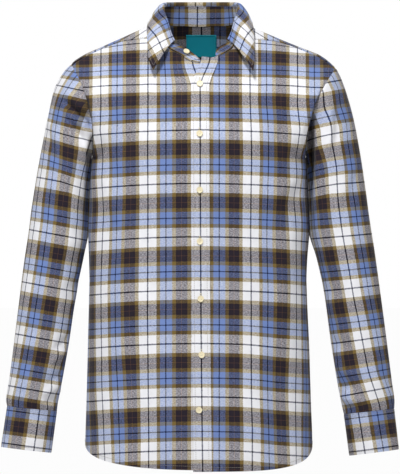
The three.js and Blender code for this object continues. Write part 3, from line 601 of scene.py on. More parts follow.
def front_grid(
    side: Side, edge_x: Callable[[Array], Array], columns: int, low_rows: int, high_rows: int,
) -> Array:
    """One front, from the hem to the neck and yoke seams.

    Args:
        side: the wearer's side.
        edge_x: gives the place of the front's own edge at a height.
        columns: how many columns each of its 13 strips has.
        low_rows: how many rows lie below the underarm.
        high_rows: how many rows lie above it.

    Returns:
        rows x columns x 3, in millimetres.
    """
    u = np.linspace(0, 1, 13 * columns + 1)
    f = np.linspace(0, 1, low_rows, endpoint=False)[:, None]
    z = mix(hem_z(side, FRONT, u)[None], UNDERARM, f)
    g = mix(g_of(FRONT, edge_x(z), z), side, u[None])
    low = body_point(FRONT, g, z)
    to_front = armhole_ends(side)[0]
    end_t, end_z = front_neck_end(side, edge_x)
    v = np.linspace(0, 1, high_rows + 1)
    start = g_of(FRONT, edge_x(np.array([UNDERARM])), np.array([UNDERARM]))[0]
    bottom = pairs(mix(start, side, u), UNDERARM)
    left_z = mix(UNDERARM, end_z, v)
    left = pairs(g_of(FRONT, edge_x(left_z), left_z), left_z)
    rise = armhole_point(side, to_front * v)
    right = pairs(g_of(FRONT, rise[:, 0], rise[:, 2]), rise[:, 2])
    right[0] = (side, UNDERARM)
    i = u * 13
    neck_x, neck_lean = neck_at(side, mix(end_t, JOIN, np.minimum(i / 6, 1)))
    over = ridge(side_of(neck_x), neck_x) - 100 * neck_lean ** 2
    seam_x = mix(neck_at(side, JOIN)[0], rise[-1, 0], np.clip((i - 6) / 7, 0, 1))
    x = np.where(i <= 6, neck_x, seam_x)
    top_z = np.where(i <= 6, over, yoke_seam_z(side, seam_x))
    top_z[-1] = rise[-1, 2]
    top = pairs(g_of(FRONT, x, top_z), top_z)
    at = blend_grid(u, v, bottom, top, left, right)
    return np.concatenate([low, body_point(FRONT, at[..., 0], at[..., 1])])


def back_grid(columns: int, low_rows: int, high_rows: int) -> Array:
    """The back, one piece from side seam to side seam.

    Args:
        columns: how many columns of faces it has.
        low_rows: how many rows lie below the underarm.
        high_rows: how many rows lie above it.

    Returns:
        rows x columns x 3, in millimetres.
    """
    u = np.linspace(0, 1, columns + 1)
    f = np.linspace(0, 1, low_rows, endpoint=False)[:, None]
    g = mix(-1, 1, u)[None]
    low = body_point(BACK, g, mix(hem_z(LEFT, BACK, g), UNDERARM, f))
    v = np.linspace(0, 1, high_rows + 1)
    edges = {}
    for side in (RIGHT, LEFT):
        to_back = armhole_ends(side)[1]
        p = armhole_point(side, mix(2 * math.pi, to_back, v))
        edges[side] = pairs(g_of(BACK, p[:, 0], p[:, 2]), p[:, 2])
        edges[side][0] = (side, UNDERARM)
    top_g = mix(edges[RIGHT][-1, 0], edges[LEFT][-1, 0], u)
    z = np.full_like(top_g, -98.0)
    for _ in range(6):
        z = back_seam_z(body_point(BACK, top_g, z)[:, 0])
    at = blend_grid(u, v, pairs(mix(-1, 1, u), UNDERARM), pairs(top_g, z), edges[RIGHT], edges[LEFT])
    return np.concatenate([low, body_point(BACK, at[..., 0], at[..., 1])])


def yoke_grid(columns: int, rows: int) -> Array:
    """The yoke, from its front seams and the neck over to the back seam.

    Args:
        columns: how many columns each of its 28 strips has.
        rows: how many rows of faces it has.

    Returns:
        rows x columns x 3, in millimetres.
    """
    u = np.linspace(0, 1, 28 * columns + 1)
    v = np.linspace(0, 1, rows + 1)
    ends = {}
    for side in (RIGHT, LEFT):
        to_front, to_back = armhole_ends(side)
        angle = mix(to_front, to_back, v)
        p = armhole_point(side, angle)
        ends[side] = pairs(p[:, 0], lean_of(p[:, 0], p[:, 2], np.where(angle <= math.pi, FRONT, BACK)))
    i = u * 28 - 14
    front = np.zeros((len(u), 2))
    for side in (RIGHT, LEFT):
        k = abs(i)
        neck_x, neck_lean = neck_at(side, JOIN * np.minimum(k / 7, 1))
        seam_x = mix(neck_at(side, JOIN)[0], ends[side][0, 0], np.clip((k - 7) / 7, 0, 1))
        seam = pairs(seam_x, lean_of(seam_x, yoke_seam_z(side, seam_x), FRONT))
        line = np.where((k <= 7)[:, None], pairs(neck_x, neck_lean), seam)
        line[k >= 14] = ends[side][0]
        here = (i < 0) if side == RIGHT else (i >= 0)
        front[here] = line[here]
    x = mix(ends[RIGHT][-1, 0], ends[LEFT][-1, 0], u)
    back = pairs(x, lean_of(x, back_seam_z(x), BACK))
    back[0], back[-1] = ends[RIGHT][-1], ends[LEFT][-1]
    at = blend_grid(u, v, front, back, ends[RIGHT], ends[LEFT])
    return lean_point(at[..., 0], at[..., 1])


def sleeve_grid(side: Side, rows: int, around: int) -> Array:
    """A sleeve's surface, its rows from the armhole to the cuff seam.

    Args:
        side: the wearer's side.
        rows: how many rows of faces it has.
        around: how many columns go round it.

    Returns:
        rows x columns x 3, in millimetres.
    """
    s = np.linspace(0, 1, rows + 1)[:, None]
    angle = np.linspace(0, 2 * math.pi, around, endpoint=False)[None]
    return tube_point(SLEEVE, side, *np.broadcast_arrays(s, angle))


def cuff_grid(side: Side, rows: int, around: int) -> Array:
    """A cuff's surface, its ends lapping on the back of the wrist.

    Args:
        side: the wearer's side.
        rows: how many rows of faces it has.
        around: how many columns go round it.

    Returns:
        rows x columns x 3, in millimetres.
    """
    lap = 0.6
    turn = np.linspace(0, 2 * math.pi + lap, around + 1)[None]
    lift = 2.6 * smooth(2 * math.pi - 0.5, 2 * math.pi - 0.05, turn)
    s = np.linspace(0, 1, rows + 1)[:, None]
    s, angle, lift = np.broadcast_arrays(s, LAP - lap / 2 + turn, lift)
    return tube_point(CUFF, side, s, angle, lift)


def sleeve_placket_grid(side: Side, rows: int, columns: int) -> Array:
    """The strip that finishes the sleeve's opening above the cuff.

    Args:
        side: the wearer's side.
        rows: how many rows of faces it has.
        columns: how many columns of faces it has.

    Returns:
        rows x columns x 3, in millimetres.
    """
    s = np.linspace(0.83, 0.985, rows + 1)[:, None]
    angle = LAP + np.linspace(-0.27, 0.27, columns + 1)[None]
    return tube_point(SLEEVE, side, *np.broadcast_arrays(s, angle))


def placket_grid(rows: int, columns: int) -> Array:
    """The band that the front buttons go through.

    Args:
        rows: how many rows of faces it has.
        columns: how many columns of faces it has.

    Returns:
        rows x columns x 3, in millimetres.
    """
    across = np.linspace(-1, 1, columns + 1)
    low_z = hem_z(LEFT, FRONT, 0.0) - 0.4
    high_z = np.full(len(across), -54.0)
    ts = np.linspace(JOIN, 1, 601)
    seam_x, seam_z = neck_at(LEFT, ts)[0], neck_z(LEFT, ts)
    for _ in range(4):
        want = placket_middle(high_z) + across * placket_half(high_z)
        high_z = np.array([seam_z[np.argmin(abs(seam_x - w))] for w in want])
    z = mix(low_z, high_z[None], np.linspace(0, 1, rows + 1)[:, None])
    x = placket_middle(z) + across[None] * placket_half(z)
    return body_point(FRONT, g_of(FRONT, x, z), z)


def stand_grid(rows: int, columns: int) -> Array:
    """The collar stand, its columns from the right front end round to the left one.

    Args:
        rows: how many rows of faces it has.
        columns: how many columns each half has.

    Returns:
        rows x columns x 3, in millimetres.
    """
    t = np.concatenate([
        -STAND_END[RIGHT] + STAND_END[RIGHT] * np.sin(np.linspace(0, math.pi / 2, columns, endpoint=False)),
        STAND_END[LEFT] * (1 - np.cos(np.linspace(0, math.pi / 2, columns + 1))),
    ])
    t = np.clip(t, -STAND_END[RIGHT], STAND_END[LEFT])
    foot, top, _, _ = stand_at(t)
    f = np.linspace(0, 1, rows + 1)[:, None, None]
    return mix(foot[None], top[None], f)


def through(profile: Array, steps: int) -> Array:
    """Points on a smooth line through each profile's own, evenly spaced.

    Args:
        profile: points x places x 3.
        steps: how many spaces lie between the new points.

    Returns:
        new points x places x 3.
    """
    span = np.linalg.norm(np.diff(profile, axis=0), axis=-1).mean(1)
    at = np.concatenate([[0], np.cumsum(span)])
    fine = np.linspace(0, at[-1], steps + 1)
    slope = np.gradient(profile, at, axis=0)
    i = np.clip(np.searchsorted(at, fine) - 1, 0, len(at) - 2)
    h = (at[i + 1] - at[i])[:, None, None]
    f = ((fine - at[i])[:, None, None]) / h
    f2, f3 = f * f, f * f * f
    return (
        (2 * f3 - 3 * f2 + 1) * profile[i]
        + (f3 - 2 * f2 + f) * h * slope[i]
        + (3 * f2 - 2 * f3) * profile[i + 1]
        + (f3 - f2) * h * slope[i + 1]
    )


def leaf_grid(rows: int, columns: int) -> Array:
    """The turned-down leaf of the collar, from the top of the stand over the fold to its outer edge.

    Args:
        rows: how many rows of faces it has.
        columns: how many columns each half has.

    Returns:
        rows x columns x 3, in millimetres.
    """
    half = 0.8 * (1 - (1 - np.linspace(0, 1, columns + 1)) ** 1.4)
    t = np.concatenate([-half[::-1], half[1:]])

    def edge(at: Array) -> Array:
        """The leaf's outer edge."""
        side, far = side_of(at), abs(at)
        get = {n: pick(side, LEAF[RIGHT][n](far), LEAF[LEFT][n](far)) for n in ("edgeX", "edgeY", "edgeZ")}
        return np.stack([side * get["edgeX"], get["edgeY"], get["edgeZ"]], -1)

    _, top, up, out = stand_at(t)
    far = abs(t)
    high = 7 - 2.5 * smooth(0.5, 0.8, far)

    def at(rise: Number, push: Number) -> Array:
        """A place above the top of the stand and out from it."""
        rise, push = np.broadcast_to(rise, far.shape), np.broadcast_to(push, far.shape)
        return top + up * rise[:, None] + out * push[:, None]

    over = at(high - 3, 4.15 + 1.2 * smooth(0.62, 0.8, far))
    here = edge(t)
    along = edge(np.minimum(t + 0.02, 0.8)) - edge(np.maximum(t - 0.02, -0.8))
    away = unit(np.cross(along, here - over))
    clear = smooth(0.62, 0.8, far)

    def bulge(f: float, push: Array) -> Array:
        """A place a share f of the way down the fall, pushed off it."""
        return mix(over, here, f) + away * push[:, None]

    profile = np.stack([
        at(0.6, -1.7), at(high - 2.2, -1.9), at(high, -0.2), at(high - 0.8, 2.0), over,
        bulge(0.15, 1.4 + 4 * clear), bulge(0.36, 2.4 + 5.5 * clear), bulge(0.68, 2 + 3.5 * clear), here,
    ])
    return through(profile, rows)


def label_grid(rows: int, columns: int) -> Array:
    """The bare neck label on the inside of the yoke.

    Args:
        rows: how many rows of faces it has.
        columns: how many columns of faces it has.

    Returns:
        rows x columns x 3, in millimetres.
    """
    x = np.linspace(-22.9, 28.6, columns + 1)[None]
    z = np.linspace(-49.3, -11.9, rows + 1)[:, None]
    x, z = np.broadcast_arrays(x, z)
    return body_point(BACK, g_of(BACK, x, z), z)


# Cloth in the hand: creases, walls and meshes

@dataclass(frozen=True)
class Fold:
    """A soft crease along a line, in the piece's own two measures.

    high is its height, negative for a trough, wide its half-width, bend how far its middle bows and lip the
    share of it that swells the other way beside it. A fold with flat keeps its height that far to one side.
    """

    a: tuple[float, float]
    b: tuple[float, float]
    high: float
    wide: float
    bend: float = 0.0
    lip: float = 0.4
    flat: float = 0.0


def fold_height(at: Array, folds: Sequence[Fold]) -> Array:
    """Height of all the folds at places given as rows x columns x 2.

    Args:
        at: rows x columns x 2, in the piece's own measures.
        folds: the creases.

    Returns:
        The height at each place.
    """
    total = np.zeros(at.shape[:2])
    for fold in folds:
        a, b = np.array(fold.a, float), np.array(fold.b, float)
        length = np.linalg.norm(b - a)
        way = (b - a) / length
        across = np.array([-way[1], way[0]])
        t = (at - a) @ way / length
        off = (at - a) @ across - fold.bend * 4 * t * (1 - t)
        ends = smooth(-0.12, 0.3, t) * (1 - smooth(0.7, 1.12, t))
        wide = fold.wide * (0.75 + 0.5 * ends)
        if fold.flat:
            level = smooth(-1, 1, off / wide) * (1 - smooth(fold.flat, fold.flat + 28, off))
            total += fold.high * ends * level
            continue
        beside = fold.lip * np.exp(-(((off - 1.9 * wide) / (1.2 * wide)) ** 2))
        total += fold.high * ends * (np.exp(-((off / wide) ** 2)) - beside)
    return total


def inset_line(surface: Array, edge: Edge, far: float) -> Array:
    """A line on a surface beside one of its edges.

    Args:
        surface: rows x columns x 3.
        edge: the edge.
        far: how far in from the edge the line runs, in millimetres.

    Returns:
        The line's points.
    """
    turned = {
        Edge.LOW: surface, Edge.HIGH: surface[::-1],
        Edge.FIRST: surface.transpose(1, 0, 2), Edge.LAST: surface[:, ::-1].transpose(1, 0, 2),
    }[edge]
    step = np.linalg.norm(np.diff(turned, axis=0), axis=-1)
    reach = np.concatenate([np.zeros((1, turned.shape[1])), np.cumsum(step, 0)])
    line = []
    for i in range(turned.shape[1]):
        line.append([np.interp(far, reach[:, i], turned[:, i, k]) for k in range(3)])
    return np.array(line)


def stitch_mesh(
    name: str, start: Array, end: Array, up: Array, wide: float, high: float,
) -> bpy.types.Object:
    """Short raised threads, each from one point to another.

    Args:
        name: the new object's name.
        start: where each thread starts, count x 3.
        end: where each ends.
        up: the way out of the cloth at each.
        wide: half the width of a thread.
        high: how far it stands up.

    Returns:
        The object, in metres.
    """
    way = unit(end - start)
    side = unit(np.cross(way, up))
    rings = []
    for share, lift, size in ((0, -0.4, 0.7), (0.2, 0.55, 1), (0.8, 0.55, 1), (1, -0.4, 0.7)):
        middle = mix(start, end, share) + up * (high * lift)
        rings.append(np.stack([
            middle - side * wide * size, middle + up * high * size * 0.45,
            middle + side * wide * size, middle - up * high * size * 0.45,
        ], 1))
    points = np.stack(rings, 1)
    count = len(points)
    quads = []
    for r in range(3):
        for c in range(4):
            quads.append([r * 4 + c, r * 4 + (c + 1) % 4, (r + 1) * 4 + (c + 1) % 4, (r + 1) * 4 + c])
    quads += [[3, 2, 1, 0], [12, 13, 14, 15]]
    faces = np.array(quads)[None] + np.arange(count)[:, None, None] * 16
    return mesh_object(name, points.reshape(-1, 3), faces.reshape(-1, 4), None, 70)


def along_line(line: Array, up: Array, pitch: float, trim: float = 0.0) -> tuple[Array, Array, Array]:
    """Places the stitches of a seam along a line.

    Args:
        line: the line's points.
        up: the way out of the cloth at each of them.
        pitch: from one stitch to the next, in millimetres.
        trim: how much of the line is left out at each end.

    Returns:
        The starts, the ends and the way out.
    """
    reach = np.concatenate([[0], np.cumsum(np.linalg.norm(np.diff(line, axis=0), axis=-1))])
    at = np.arange(trim, reach[-1] - trim - pitch, pitch)

    def there(where: Array, what: Array) -> Array:
        """What the line has at distances along it."""
        return np.stack([np.interp(where, reach, what[:, k]) for k in range(3)], -1)

    return there(at, line), there(at + pitch * 0.74, line), unit(there(at + pitch * 0.37, up))


def near_edges(grid: Array, sides: set[Edge]) -> Array:
    """Distance of each point from the nearest of the named edges, along the cloth.

    Args:
        grid: rows x columns x 3, the piece's surface.
        sides: the edges that count.

    Returns:
        The distance of each point.
    """
    rows, columns = grid.shape[:2]
    far = np.full((rows, columns), 1e3)
    down = np.linalg.norm(np.diff(grid, axis=0), axis=-1)
    over = np.linalg.norm(np.diff(grid, axis=1), axis=-1)
    zero_row, zero_column = np.zeros((1, columns)), np.zeros((rows, 1))
    if Edge.LOW in sides:
        far = np.minimum(far, np.concatenate([zero_row, np.cumsum(down, 0)]))
    if Edge.HIGH in sides:
        far = np.minimum(far, np.concatenate([np.cumsum(down[::-1], 0)[::-1], zero_row]))
    if Edge.FIRST in sides:
        far = np.minimum(far, np.concatenate([zero_column, np.cumsum(over, 1)], 1))
    if Edge.LAST in sides:
        far = np.minimum(far, np.concatenate([np.cumsum(over[:, ::-1], 1)[:, ::-1], zero_column], 1))
    return far


def grid_facing(grid: Array, around: bool = False) -> Array:
    """The direction straight out of a grid, across its neighbours.

    Args:
        grid: rows x columns x 3, the piece's surface.
        around: whether its last column meets its first.

    Returns:
        One direction for each point.
    """
    if around:
        over = np.roll(grid, -1, 1) - np.roll(grid, 1, 1)
    else:
        over = np.gradient(grid, axis=1)
    return unit(np.cross(over, np.gradient(grid, axis=0)))


def shell(
    name: str, grid: Array, out: Array, uv: Array, thick: Number, raised: Number, around: bool = False,
) -> bpy.types.Object:
    """A closed thin wall of cloth.

    Args:
        name: the new object's name.
        grid: rows x columns x 3, in millimetres, the piece's outer surface.
        out: the way out at each point.
        uv: the cloth's own measures, with one column more where the grid goes all the way round.
        thick: the wall, a number or one for each point.
        raised: how far its outer face stands off the grid, a number or one for each point.
        around: whether the last column meets the first.

    Returns:
        The object, in metres.
    """
    rows, columns = grid.shape[:2]
    thick = np.broadcast_to(thick, (rows, columns))
    raised = np.broadcast_to(raised, (rows, columns))
    outer = grid + out * raised[..., None]
    inner = grid + out * (raised - thick)[..., None]
    last = columns if around else columns - 1
    j, i = np.meshgrid(np.arange(rows - 1), np.arange(last), indexing="ij")
    j, i = j.ravel(), i.ravel()
    round_face = ((j, i), (j, i + 1), (j + 1, i + 1), (j + 1, i))
    spots = np.stack([np.stack(corner) for corner in round_face], -1)
    faces, corners = [], []
    for spot, behind in ((spots, 0), (spots[:, :, ::-1], rows * columns)):
        faces.append(behind + spot[0] * columns + spot[1] % columns)
        corners.append(uv[spot[0], spot[1]])

    def rim(js: Array, iis: Array) -> None:
        """Closes the wall along a line of points."""
        a = np.stack([js[:-1], iis[:-1]]), np.stack([js[1:], iis[1:]])
        flat = [s[0] * columns + s[1] % columns for s in a]
        below = rows * columns
        faces.append(np.stack([flat[0], flat[0] + below, flat[1] + below, flat[1]], -1))
        first, second = uv[a[0][0], a[0][1]], uv[a[1][0], a[1][1]]
        corners.append(np.stack([first, first, second, second], 1))

    across, up = np.arange(last + 1), np.arange(rows)
    rim(np.zeros_like(across), across)
    rim(np.full_like(across, rows - 1)[::-1], across[::-1])
    if not around:
        rim(up[::-1], np.zeros_like(up))
        rim(up, np.full_like(up, columns - 1))
    points = np.concatenate([outer.reshape(-1, 3), inner.reshape(-1, 3)])
    quad = np.concatenate(faces)
    corner = np.concatenate(corners)
    a, b, d = points[quad[: len(j), 0]], points[quad[: len(j), 1]], points[quad[: len(j), 3]]
    way = (np.cross(b - a, d - a) * out.reshape(-1, 3)[quad[: len(j), 0]]).sum()
    if way < 0:
        quad, corner = quad[:, ::-1], corner[:, ::-1]
    return mesh_object(name, points, quad, corner)


def mesh_object(
    name: str, points: Array, faces: Array, corner: Array | None = None, angle: float = 50,
) -> bpy.types.Object:
    """An object from points and faces of four corners.

    Args:
        name: the new object's name.
        points: count x 3, in millimetres.
        faces: the numbers of each face's points.
        corner: the cloth's measures at each face's corners.
        angle: where faces meet at more degrees than this, the edge is sharp.

    Returns:
        The object, in metres.
    """
    mesh = bpy.data.meshes.new(name)
    mesh.vertices.add(len(points))
    mesh.vertices.foreach_set("co", (np.asarray(points) * MM).ravel())
    count = faces.shape[1]
    mesh.loops.add(faces.size)
    mesh.loops.foreach_set("vertex_index", faces.ravel().astype(np.int32))
    mesh.polygons.add(len(faces))
    mesh.polygons.foreach_set("loop_start", np.arange(0, faces.size, count, dtype=np.int32))
    mesh.polygons.foreach_set("loop_total", np.full(len(faces), count, dtype=np.int32))
    if corner is not None:
        layer = mesh.uv_layers.new(name="Cloth")
        layer.data.foreach_set("uv", (corner * MM).astype(np.float32).ravel())
    mesh.update(calc_edges=True)
    mesh.validate()
    mesh.shade_smooth()
    mesh.set_sharp_from_angle(angle=math.radians(angle))
    made = bpy.data.objects.new(name, mesh)
    bpy.context.scene.collection.objects.link(made)
    return made


def span_uv(grid: Array, centre: int) -> Array:
    """Distance along each row of a grid from one of its columns.

    Args:
        grid: rows x columns x 3, the piece's surface.
        centre: the column.

    Returns:
        The distance of each point.
    """
    step = np.linalg.norm(np.diff(grid, axis=1), axis=-1)
    far = np.concatenate([np.zeros((grid.shape[0], 1)), np.cumsum(step, 1)], 1)
    return far - far[:, centre][:, None]


def outward(out: Array, grid: Array, middle: Array) -> Array:
    """A grid's facing, turned over where it looks towards the piece's middle."""
    return out * np.sign((out * (grid - middle)).sum(-1).mean())


# Finishes

class Yarn(Enum):
    """The colours of the check's yarns."""

    WHITE = "#eeeef2"
    BLUE = "#7288bf"
    DARK = "#2d272f"
    OLIVE = "#786439"
    NAVY = "#0c1022"
    TAN = "#6b4a35"


# Stripes of one repeat, each with its start in millimetres, from the middle of the white band.
STRIPES = (
    (0.0, Yarn.NAVY), (1.1, Yarn.WHITE), (15.7, Yarn.OLIVE), (22.0, Yarn.BLUE), (30.9, Yarn.NAVY),
    (33.0, Yarn.BLUE), (42.2, Yarn.OLIVE), (48.6, Yarn.DARK), (57.9, Yarn.TAN), (58.7, Yarn.DARK),
    (68.1, Yarn.OLIVE), (74.4, Yarn.WHITE), (88.9, Yarn.NAVY),
)
STRIPES_LONG = 90.0


def encoded(code: str) -> tuple[float, ...]:
    """The red, green and blue of a hex colour as it is written, from 0 to 1."""
    return tuple(int(code[i:i + 2], 16) / 255 for i in (1, 3, 5))


def linear(code: str) -> tuple[float, ...]:
    """The linear colour of a hex colour, with full alpha."""
    return tuple(v / 12.92 if v <= 0.04045 else ((v + 0.055) / 1.055) ** 2.4 for v in encoded(code)) + (1.0,)


def add(tree: bpy.types.NodeTree, kind: str, *feeds: Any, output: int | str = 0,
        at: dict[int, Any] | None = None, **settings: Any) -> bpy.types.NodeSocket | None:
    """Adds a shader node with its settings and links.

    Args:
        tree: the node tree.
        kind: the node's type, without the words Shader Node.
        feeds: what goes into its first sockets in order, each a value or a socket to link.
        output: the number or the name of the output to give.
        at: what goes into further sockets, by number.
        settings: its properties, and what goes into its sockets by name, with _ for a space.

    Returns:
        The output, or nothing where the node has none.
    """
    node = tree.nodes.new("ShaderNode" + kind)
    sockets = dict(enumerate(feeds)) | (at or {})
    for name, value in settings.items():
        if hasattr(node, name):
            setattr(node, name, value)
        else:
            sockets[name.replace("_", " ")] = value
    for key, feed in sockets.items():
        if isinstance(feed, bpy.types.NodeSocket):
            tree.links.new(feed, node.inputs[key])
        else:
            node.inputs[key].default_value = feed
    return node.outputs[output] if node.outputs else None


def blank_material(name: str) -> tuple[bpy.types.Material, bpy.types.NodeTree]:
    """An empty material and its node tree."""
    material = bpy.data.materials.new(name)
    material.use_nodes = True
    material.node_tree.nodes.clear()
    return material, material.node_tree


# Cotton flannel, yarn-dyed, woven as a twill and brushed: matt and a little hazy, with a faint pale rim.
# Where stripes cross, warp and weft show as specks, and the yarns' own melange breaks each stripe into
# short streaks.
@dataclass(frozen=True)
class BrushedFlannel:
    """How the check takes the light: its stripes, its twill, its melange and its nap."""

    rough: float = 0.92
    sheen: float = 0.1
    sheen_rough: float = 0.45
    specular: float = 0.15
    # The ribs of a real one are about half as far apart, too fine to show.
    twill_mm: float = 0.9
    twill_high: float = 0.05
    nap_mm: float = 0.7
    nap_high: float = 0.09
    streak_mm: float = 1.25
    streak_draw: tuple[float, float, float] = (0.36, 1.0, 1.0)
    streak_strong: float = 1.25
    wander_mm: float = 4.1667
    wander_far: float = 0.9
    fade_mm: float = 22.2222

    def stripes(self, tree: bpy.types.NodeTree, measure: bpy.types.NodeSocket,
                jitter: bpy.types.NodeSocket) -> bpy.types.NodeSocket:
        """The yarn colour of one of the two sets of threads.

        Args:
            tree: the node tree.
            measure: the place across these threads, in metres.
            jitter: how far the yarns wander there.

        Returns:
            The colour as it is written, not yet linear.
        """
        moved = add(tree, "Math", measure, jitter, operation="ADD")
        repeats = add(tree, "Math", moved, REPEAT * MM, operation="DIVIDE")
        colour = add(tree, "ValToRGB", add(tree, "Math", repeats, operation="FRACT"))
        ramp = colour.node.color_ramp
        ramp.interpolation = "CONSTANT"
        while len(ramp.elements) < len(STRIPES):
            ramp.elements.new(0.5)
        for element, (start, yarn) in zip(ramp.elements, STRIPES):
            element.position = start / STRIPES_LONG
            element.color = (*encoded(yarn.value), 1.0)
        return colour

    def material(self) -> bpy.types.Material:
        """Builds the material.

        Returns:
            The material, on the map named Cloth.
        """
        material, tree = blank_material("flannel")
        cloth = add(tree, "UVMap", uv_map="Cloth")
        across, along = add(tree, "SeparateXYZ", cloth).node.outputs[:2]
        wander = add(tree, "TexNoise", Scale=1 / (self.wander_mm * MM), Detail=1.0, Vector=cloth)
        centred = add(tree, "Math", wander, 0.5, operation="SUBTRACT")
        jitter = add(tree, "Math", centred, self.wander_far * MM, operation="MULTIPLY")
        warp, weft = (self.stripes(tree, measure, jitter) for measure in (across, along))
        bias = add(tree, "Math", across, along, operation="ADD")
        turn = add(tree, "Math", bias, 2 * math.pi / (self.twill_mm * MM), operation="MULTIPLY")
        twill = add(tree, "Math", turn, operation="SINE")
        drawn = add(tree, "VectorMath", cloth, self.streak_draw, operation="MULTIPLY")
        streak = add(
            tree, "TexNoise", Scale=1 / (self.streak_mm * MM), Detail=2.0, Roughness=0.7, Vector=drawn,
        )
        centred = add(tree, "Math", streak, 0.5, operation="SUBTRACT")
        melange = add(tree, "Math", centred, self.streak_strong, operation="MULTIPLY")
        ribs = add(tree, "Math", twill, 0.1, operation="MULTIPLY")
        specks = add(tree, "Math", ribs, melange, operation="ADD")
        blend = add(tree, "Math", specks, 0.5, operation="ADD")
        woven = add(tree, "Mix", blend, output=2, data_type="RGBA", clamp_factor=True, at={6: warp, 7: weft})
        worn = add(tree, "TexNoise", Scale=1 / (self.fade_mm * MM), Detail=3.0, Vector=cloth)
        little = add(tree, "Math", worn, 0.08, operation="MULTIPLY")
        fade = add(tree, "Math", little, 0.94, operation="ADD")
        toned = add(tree, "VectorMath", woven, operation="SCALE", Scale=fade)
        colour = add(tree, "Gamma", toned, 2.2)
        nap = add(tree, "TexNoise", Scale=1 / (self.nap_mm * MM), Detail=2.0, Vector=cloth)
        rib_high = add(tree, "Math", twill, self.twill_high * MM, operation="MULTIPLY")
        nap_high = add(tree, "Math", nap, self.nap_high * MM, operation="MULTIPLY")
        high = add(tree, "Math", rib_high, nap_high, operation="ADD")
        bump = add(tree, "Bump", Strength=0.6, Distance=1.0, Height=high)
        surface = add(
            tree, "BsdfPrincipled", Base_Color=colour, Normal=bump, Roughness=self.rough,
            Sheen_Weight=self.sheen, Sheen_Roughness=self.sheen_rough, Specular_IOR_Level=self.specular,
        )
        add(tree, "OutputMaterial", surface)
        return material


# Spun polyester thread, twisted from plies: a soft satin whose twist shows as a lighter and darker grain.
@dataclass(frozen=True)
class SpunThread:
    """A sewing thread of one colour."""

    name: str
    code: str
    twist_mm: float = 0.384615
    rough: float = 0.6

    def material(self) -> bpy.types.Material:
        """Builds the material.

        Returns:
            The material, on the object's own measures.
        """
        material, tree = blank_material(self.name)
        place = add(tree, "TexCoord", output="Object")
        twist = add(tree, "TexNoise", Scale=1 / (self.twist_mm * MM), Detail=1.0, Vector=place)
        grain = add(tree, "Math", twist, 0.5, operation="MULTIPLY")
        light = add(tree, "Math", grain, 0.75, operation="ADD")
        tone = add(tree, "HueSaturation", Color=linear(self.code), Value=light)
        surface = add(tree, "BsdfPrincipled", Base_Color=tone, Roughness=self.rough)
        add(tree, "OutputMaterial", surface)
        return material


# Polyester resin, cast as a sheet, turned and tumbled: cream with a soft swirl, a little deep, with a
# satin polish.
@dataclass(frozen=True)
class CastResin:
    """The buttons' resin."""

    dark: str = "#e9dcb4"
    pale: str = "#f6ecce"
    swirl_mm: float = 6.25
    scuff_mm: float = 1.1111
    deep: float = 0.08
    reach: tuple[float, float, float] = (0.002, 0.0015, 0.001)

    def material(self) -> bpy.types.Material:
        """Builds the material.

        Returns:
            The material, on the object's own measures.
        """
        material, tree = blank_material("cream_button")
        place = add(tree, "TexCoord", output="Object")
        swirl = add(
            tree, "TexNoise", Scale=1 / (self.swirl_mm * MM), Detail=3.0, Distortion=1.5, Vector=place,
        )
        tone = add(
            tree, "Mix", swirl, output=2, data_type="RGBA", at={6: linear(self.dark), 7: linear(self.pale)},
        )
        scuff = add(tree, "TexNoise", Scale=1 / (self.scuff_mm * MM), Detail=2.0, Vector=place)
        spread = add(tree, "Math", scuff, 0.15, operation="MULTIPLY")
        rough = add(tree, "Math", spread, 0.25, operation="ADD")
        surface = add(
            tree, "BsdfPrincipled", Base_Color=tone, Roughness=rough, Subsurface_Weight=self.deep,
            Subsurface_Radius=self.reach,
        )
        add(tree, "OutputMaterial", surface)
        return material


# Polyester taffeta, woven as a ribbon: smooth and flat in colour, with fine ribs and a little sheen.
@dataclass(frozen=True)
class WovenTaffeta:
    """The bare label's ribbon."""

    dark: str = "#08a1b8"
    pale: str = "#10c0d8"
    rib_mm: float = 0.5
    rib_high: float = 0.04
    grain_mm: float = 0.714286
    rough: float = 0.5
    sheen: float = 0.15

    def material(self) -> bpy.types.Material:
        """Builds the material.

        Returns:
            The material, on the map named Cloth.
        """
        material, tree = blank_material("teal_label")
        cloth = add(tree, "UVMap", uv_map="Cloth")
        along = add(tree, "SeparateXYZ", cloth, output=1)
        turn = add(tree, "Math", along, 2 * math.pi / (self.rib_mm * MM), operation="MULTIPLY")
        ribs = add(tree, "Math", turn, operation="SINE")
        grain = add(tree, "TexNoise", Scale=1 / (self.grain_mm * MM), Detail=2.0, Vector=cloth)
        tone = add(
            tree, "Mix", grain, output=2, data_type="RGBA", at={6: linear(self.dark), 7: linear(self.pale)},
        )
        high = add(tree, "Math", ribs, self.rib_high * MM, operation="MULTIPLY")
        bump = add(tree, "Bump", Strength=0.5, Distance=1.0, Height=high)
        surface = add(
            tree, "BsdfPrincipled", Base_Color=tone, Normal=bump, Roughness=self.rough,
            Sheen_Weight=self.sheen,
        )
        add(tree, "OutputMaterial", surface)
        return material


# How the check lies on the body, the sleeves and the cuffs

CHEST = -176.5
COLUMN_SHIFT = table("z", "z right left", [
    (-40, 5, 10), (-124, 5, 10), (-167, 4.2, 7), (-218, 2.5, 5), (-294, 3.6, 7), (-362, 1.9, 8),
    (-447, 0.9, 6.5), (-532, 1.6, 7), (-626, 4.4, 6), (-692, 6.1, 3), (-760, 7, 2),
])
SIDE_PRESS = Curve([-430, -385, -342, -297, -260, -236, -222], [0, 2.4, 4.8, 4.6, 3.6, 2.0, 0])


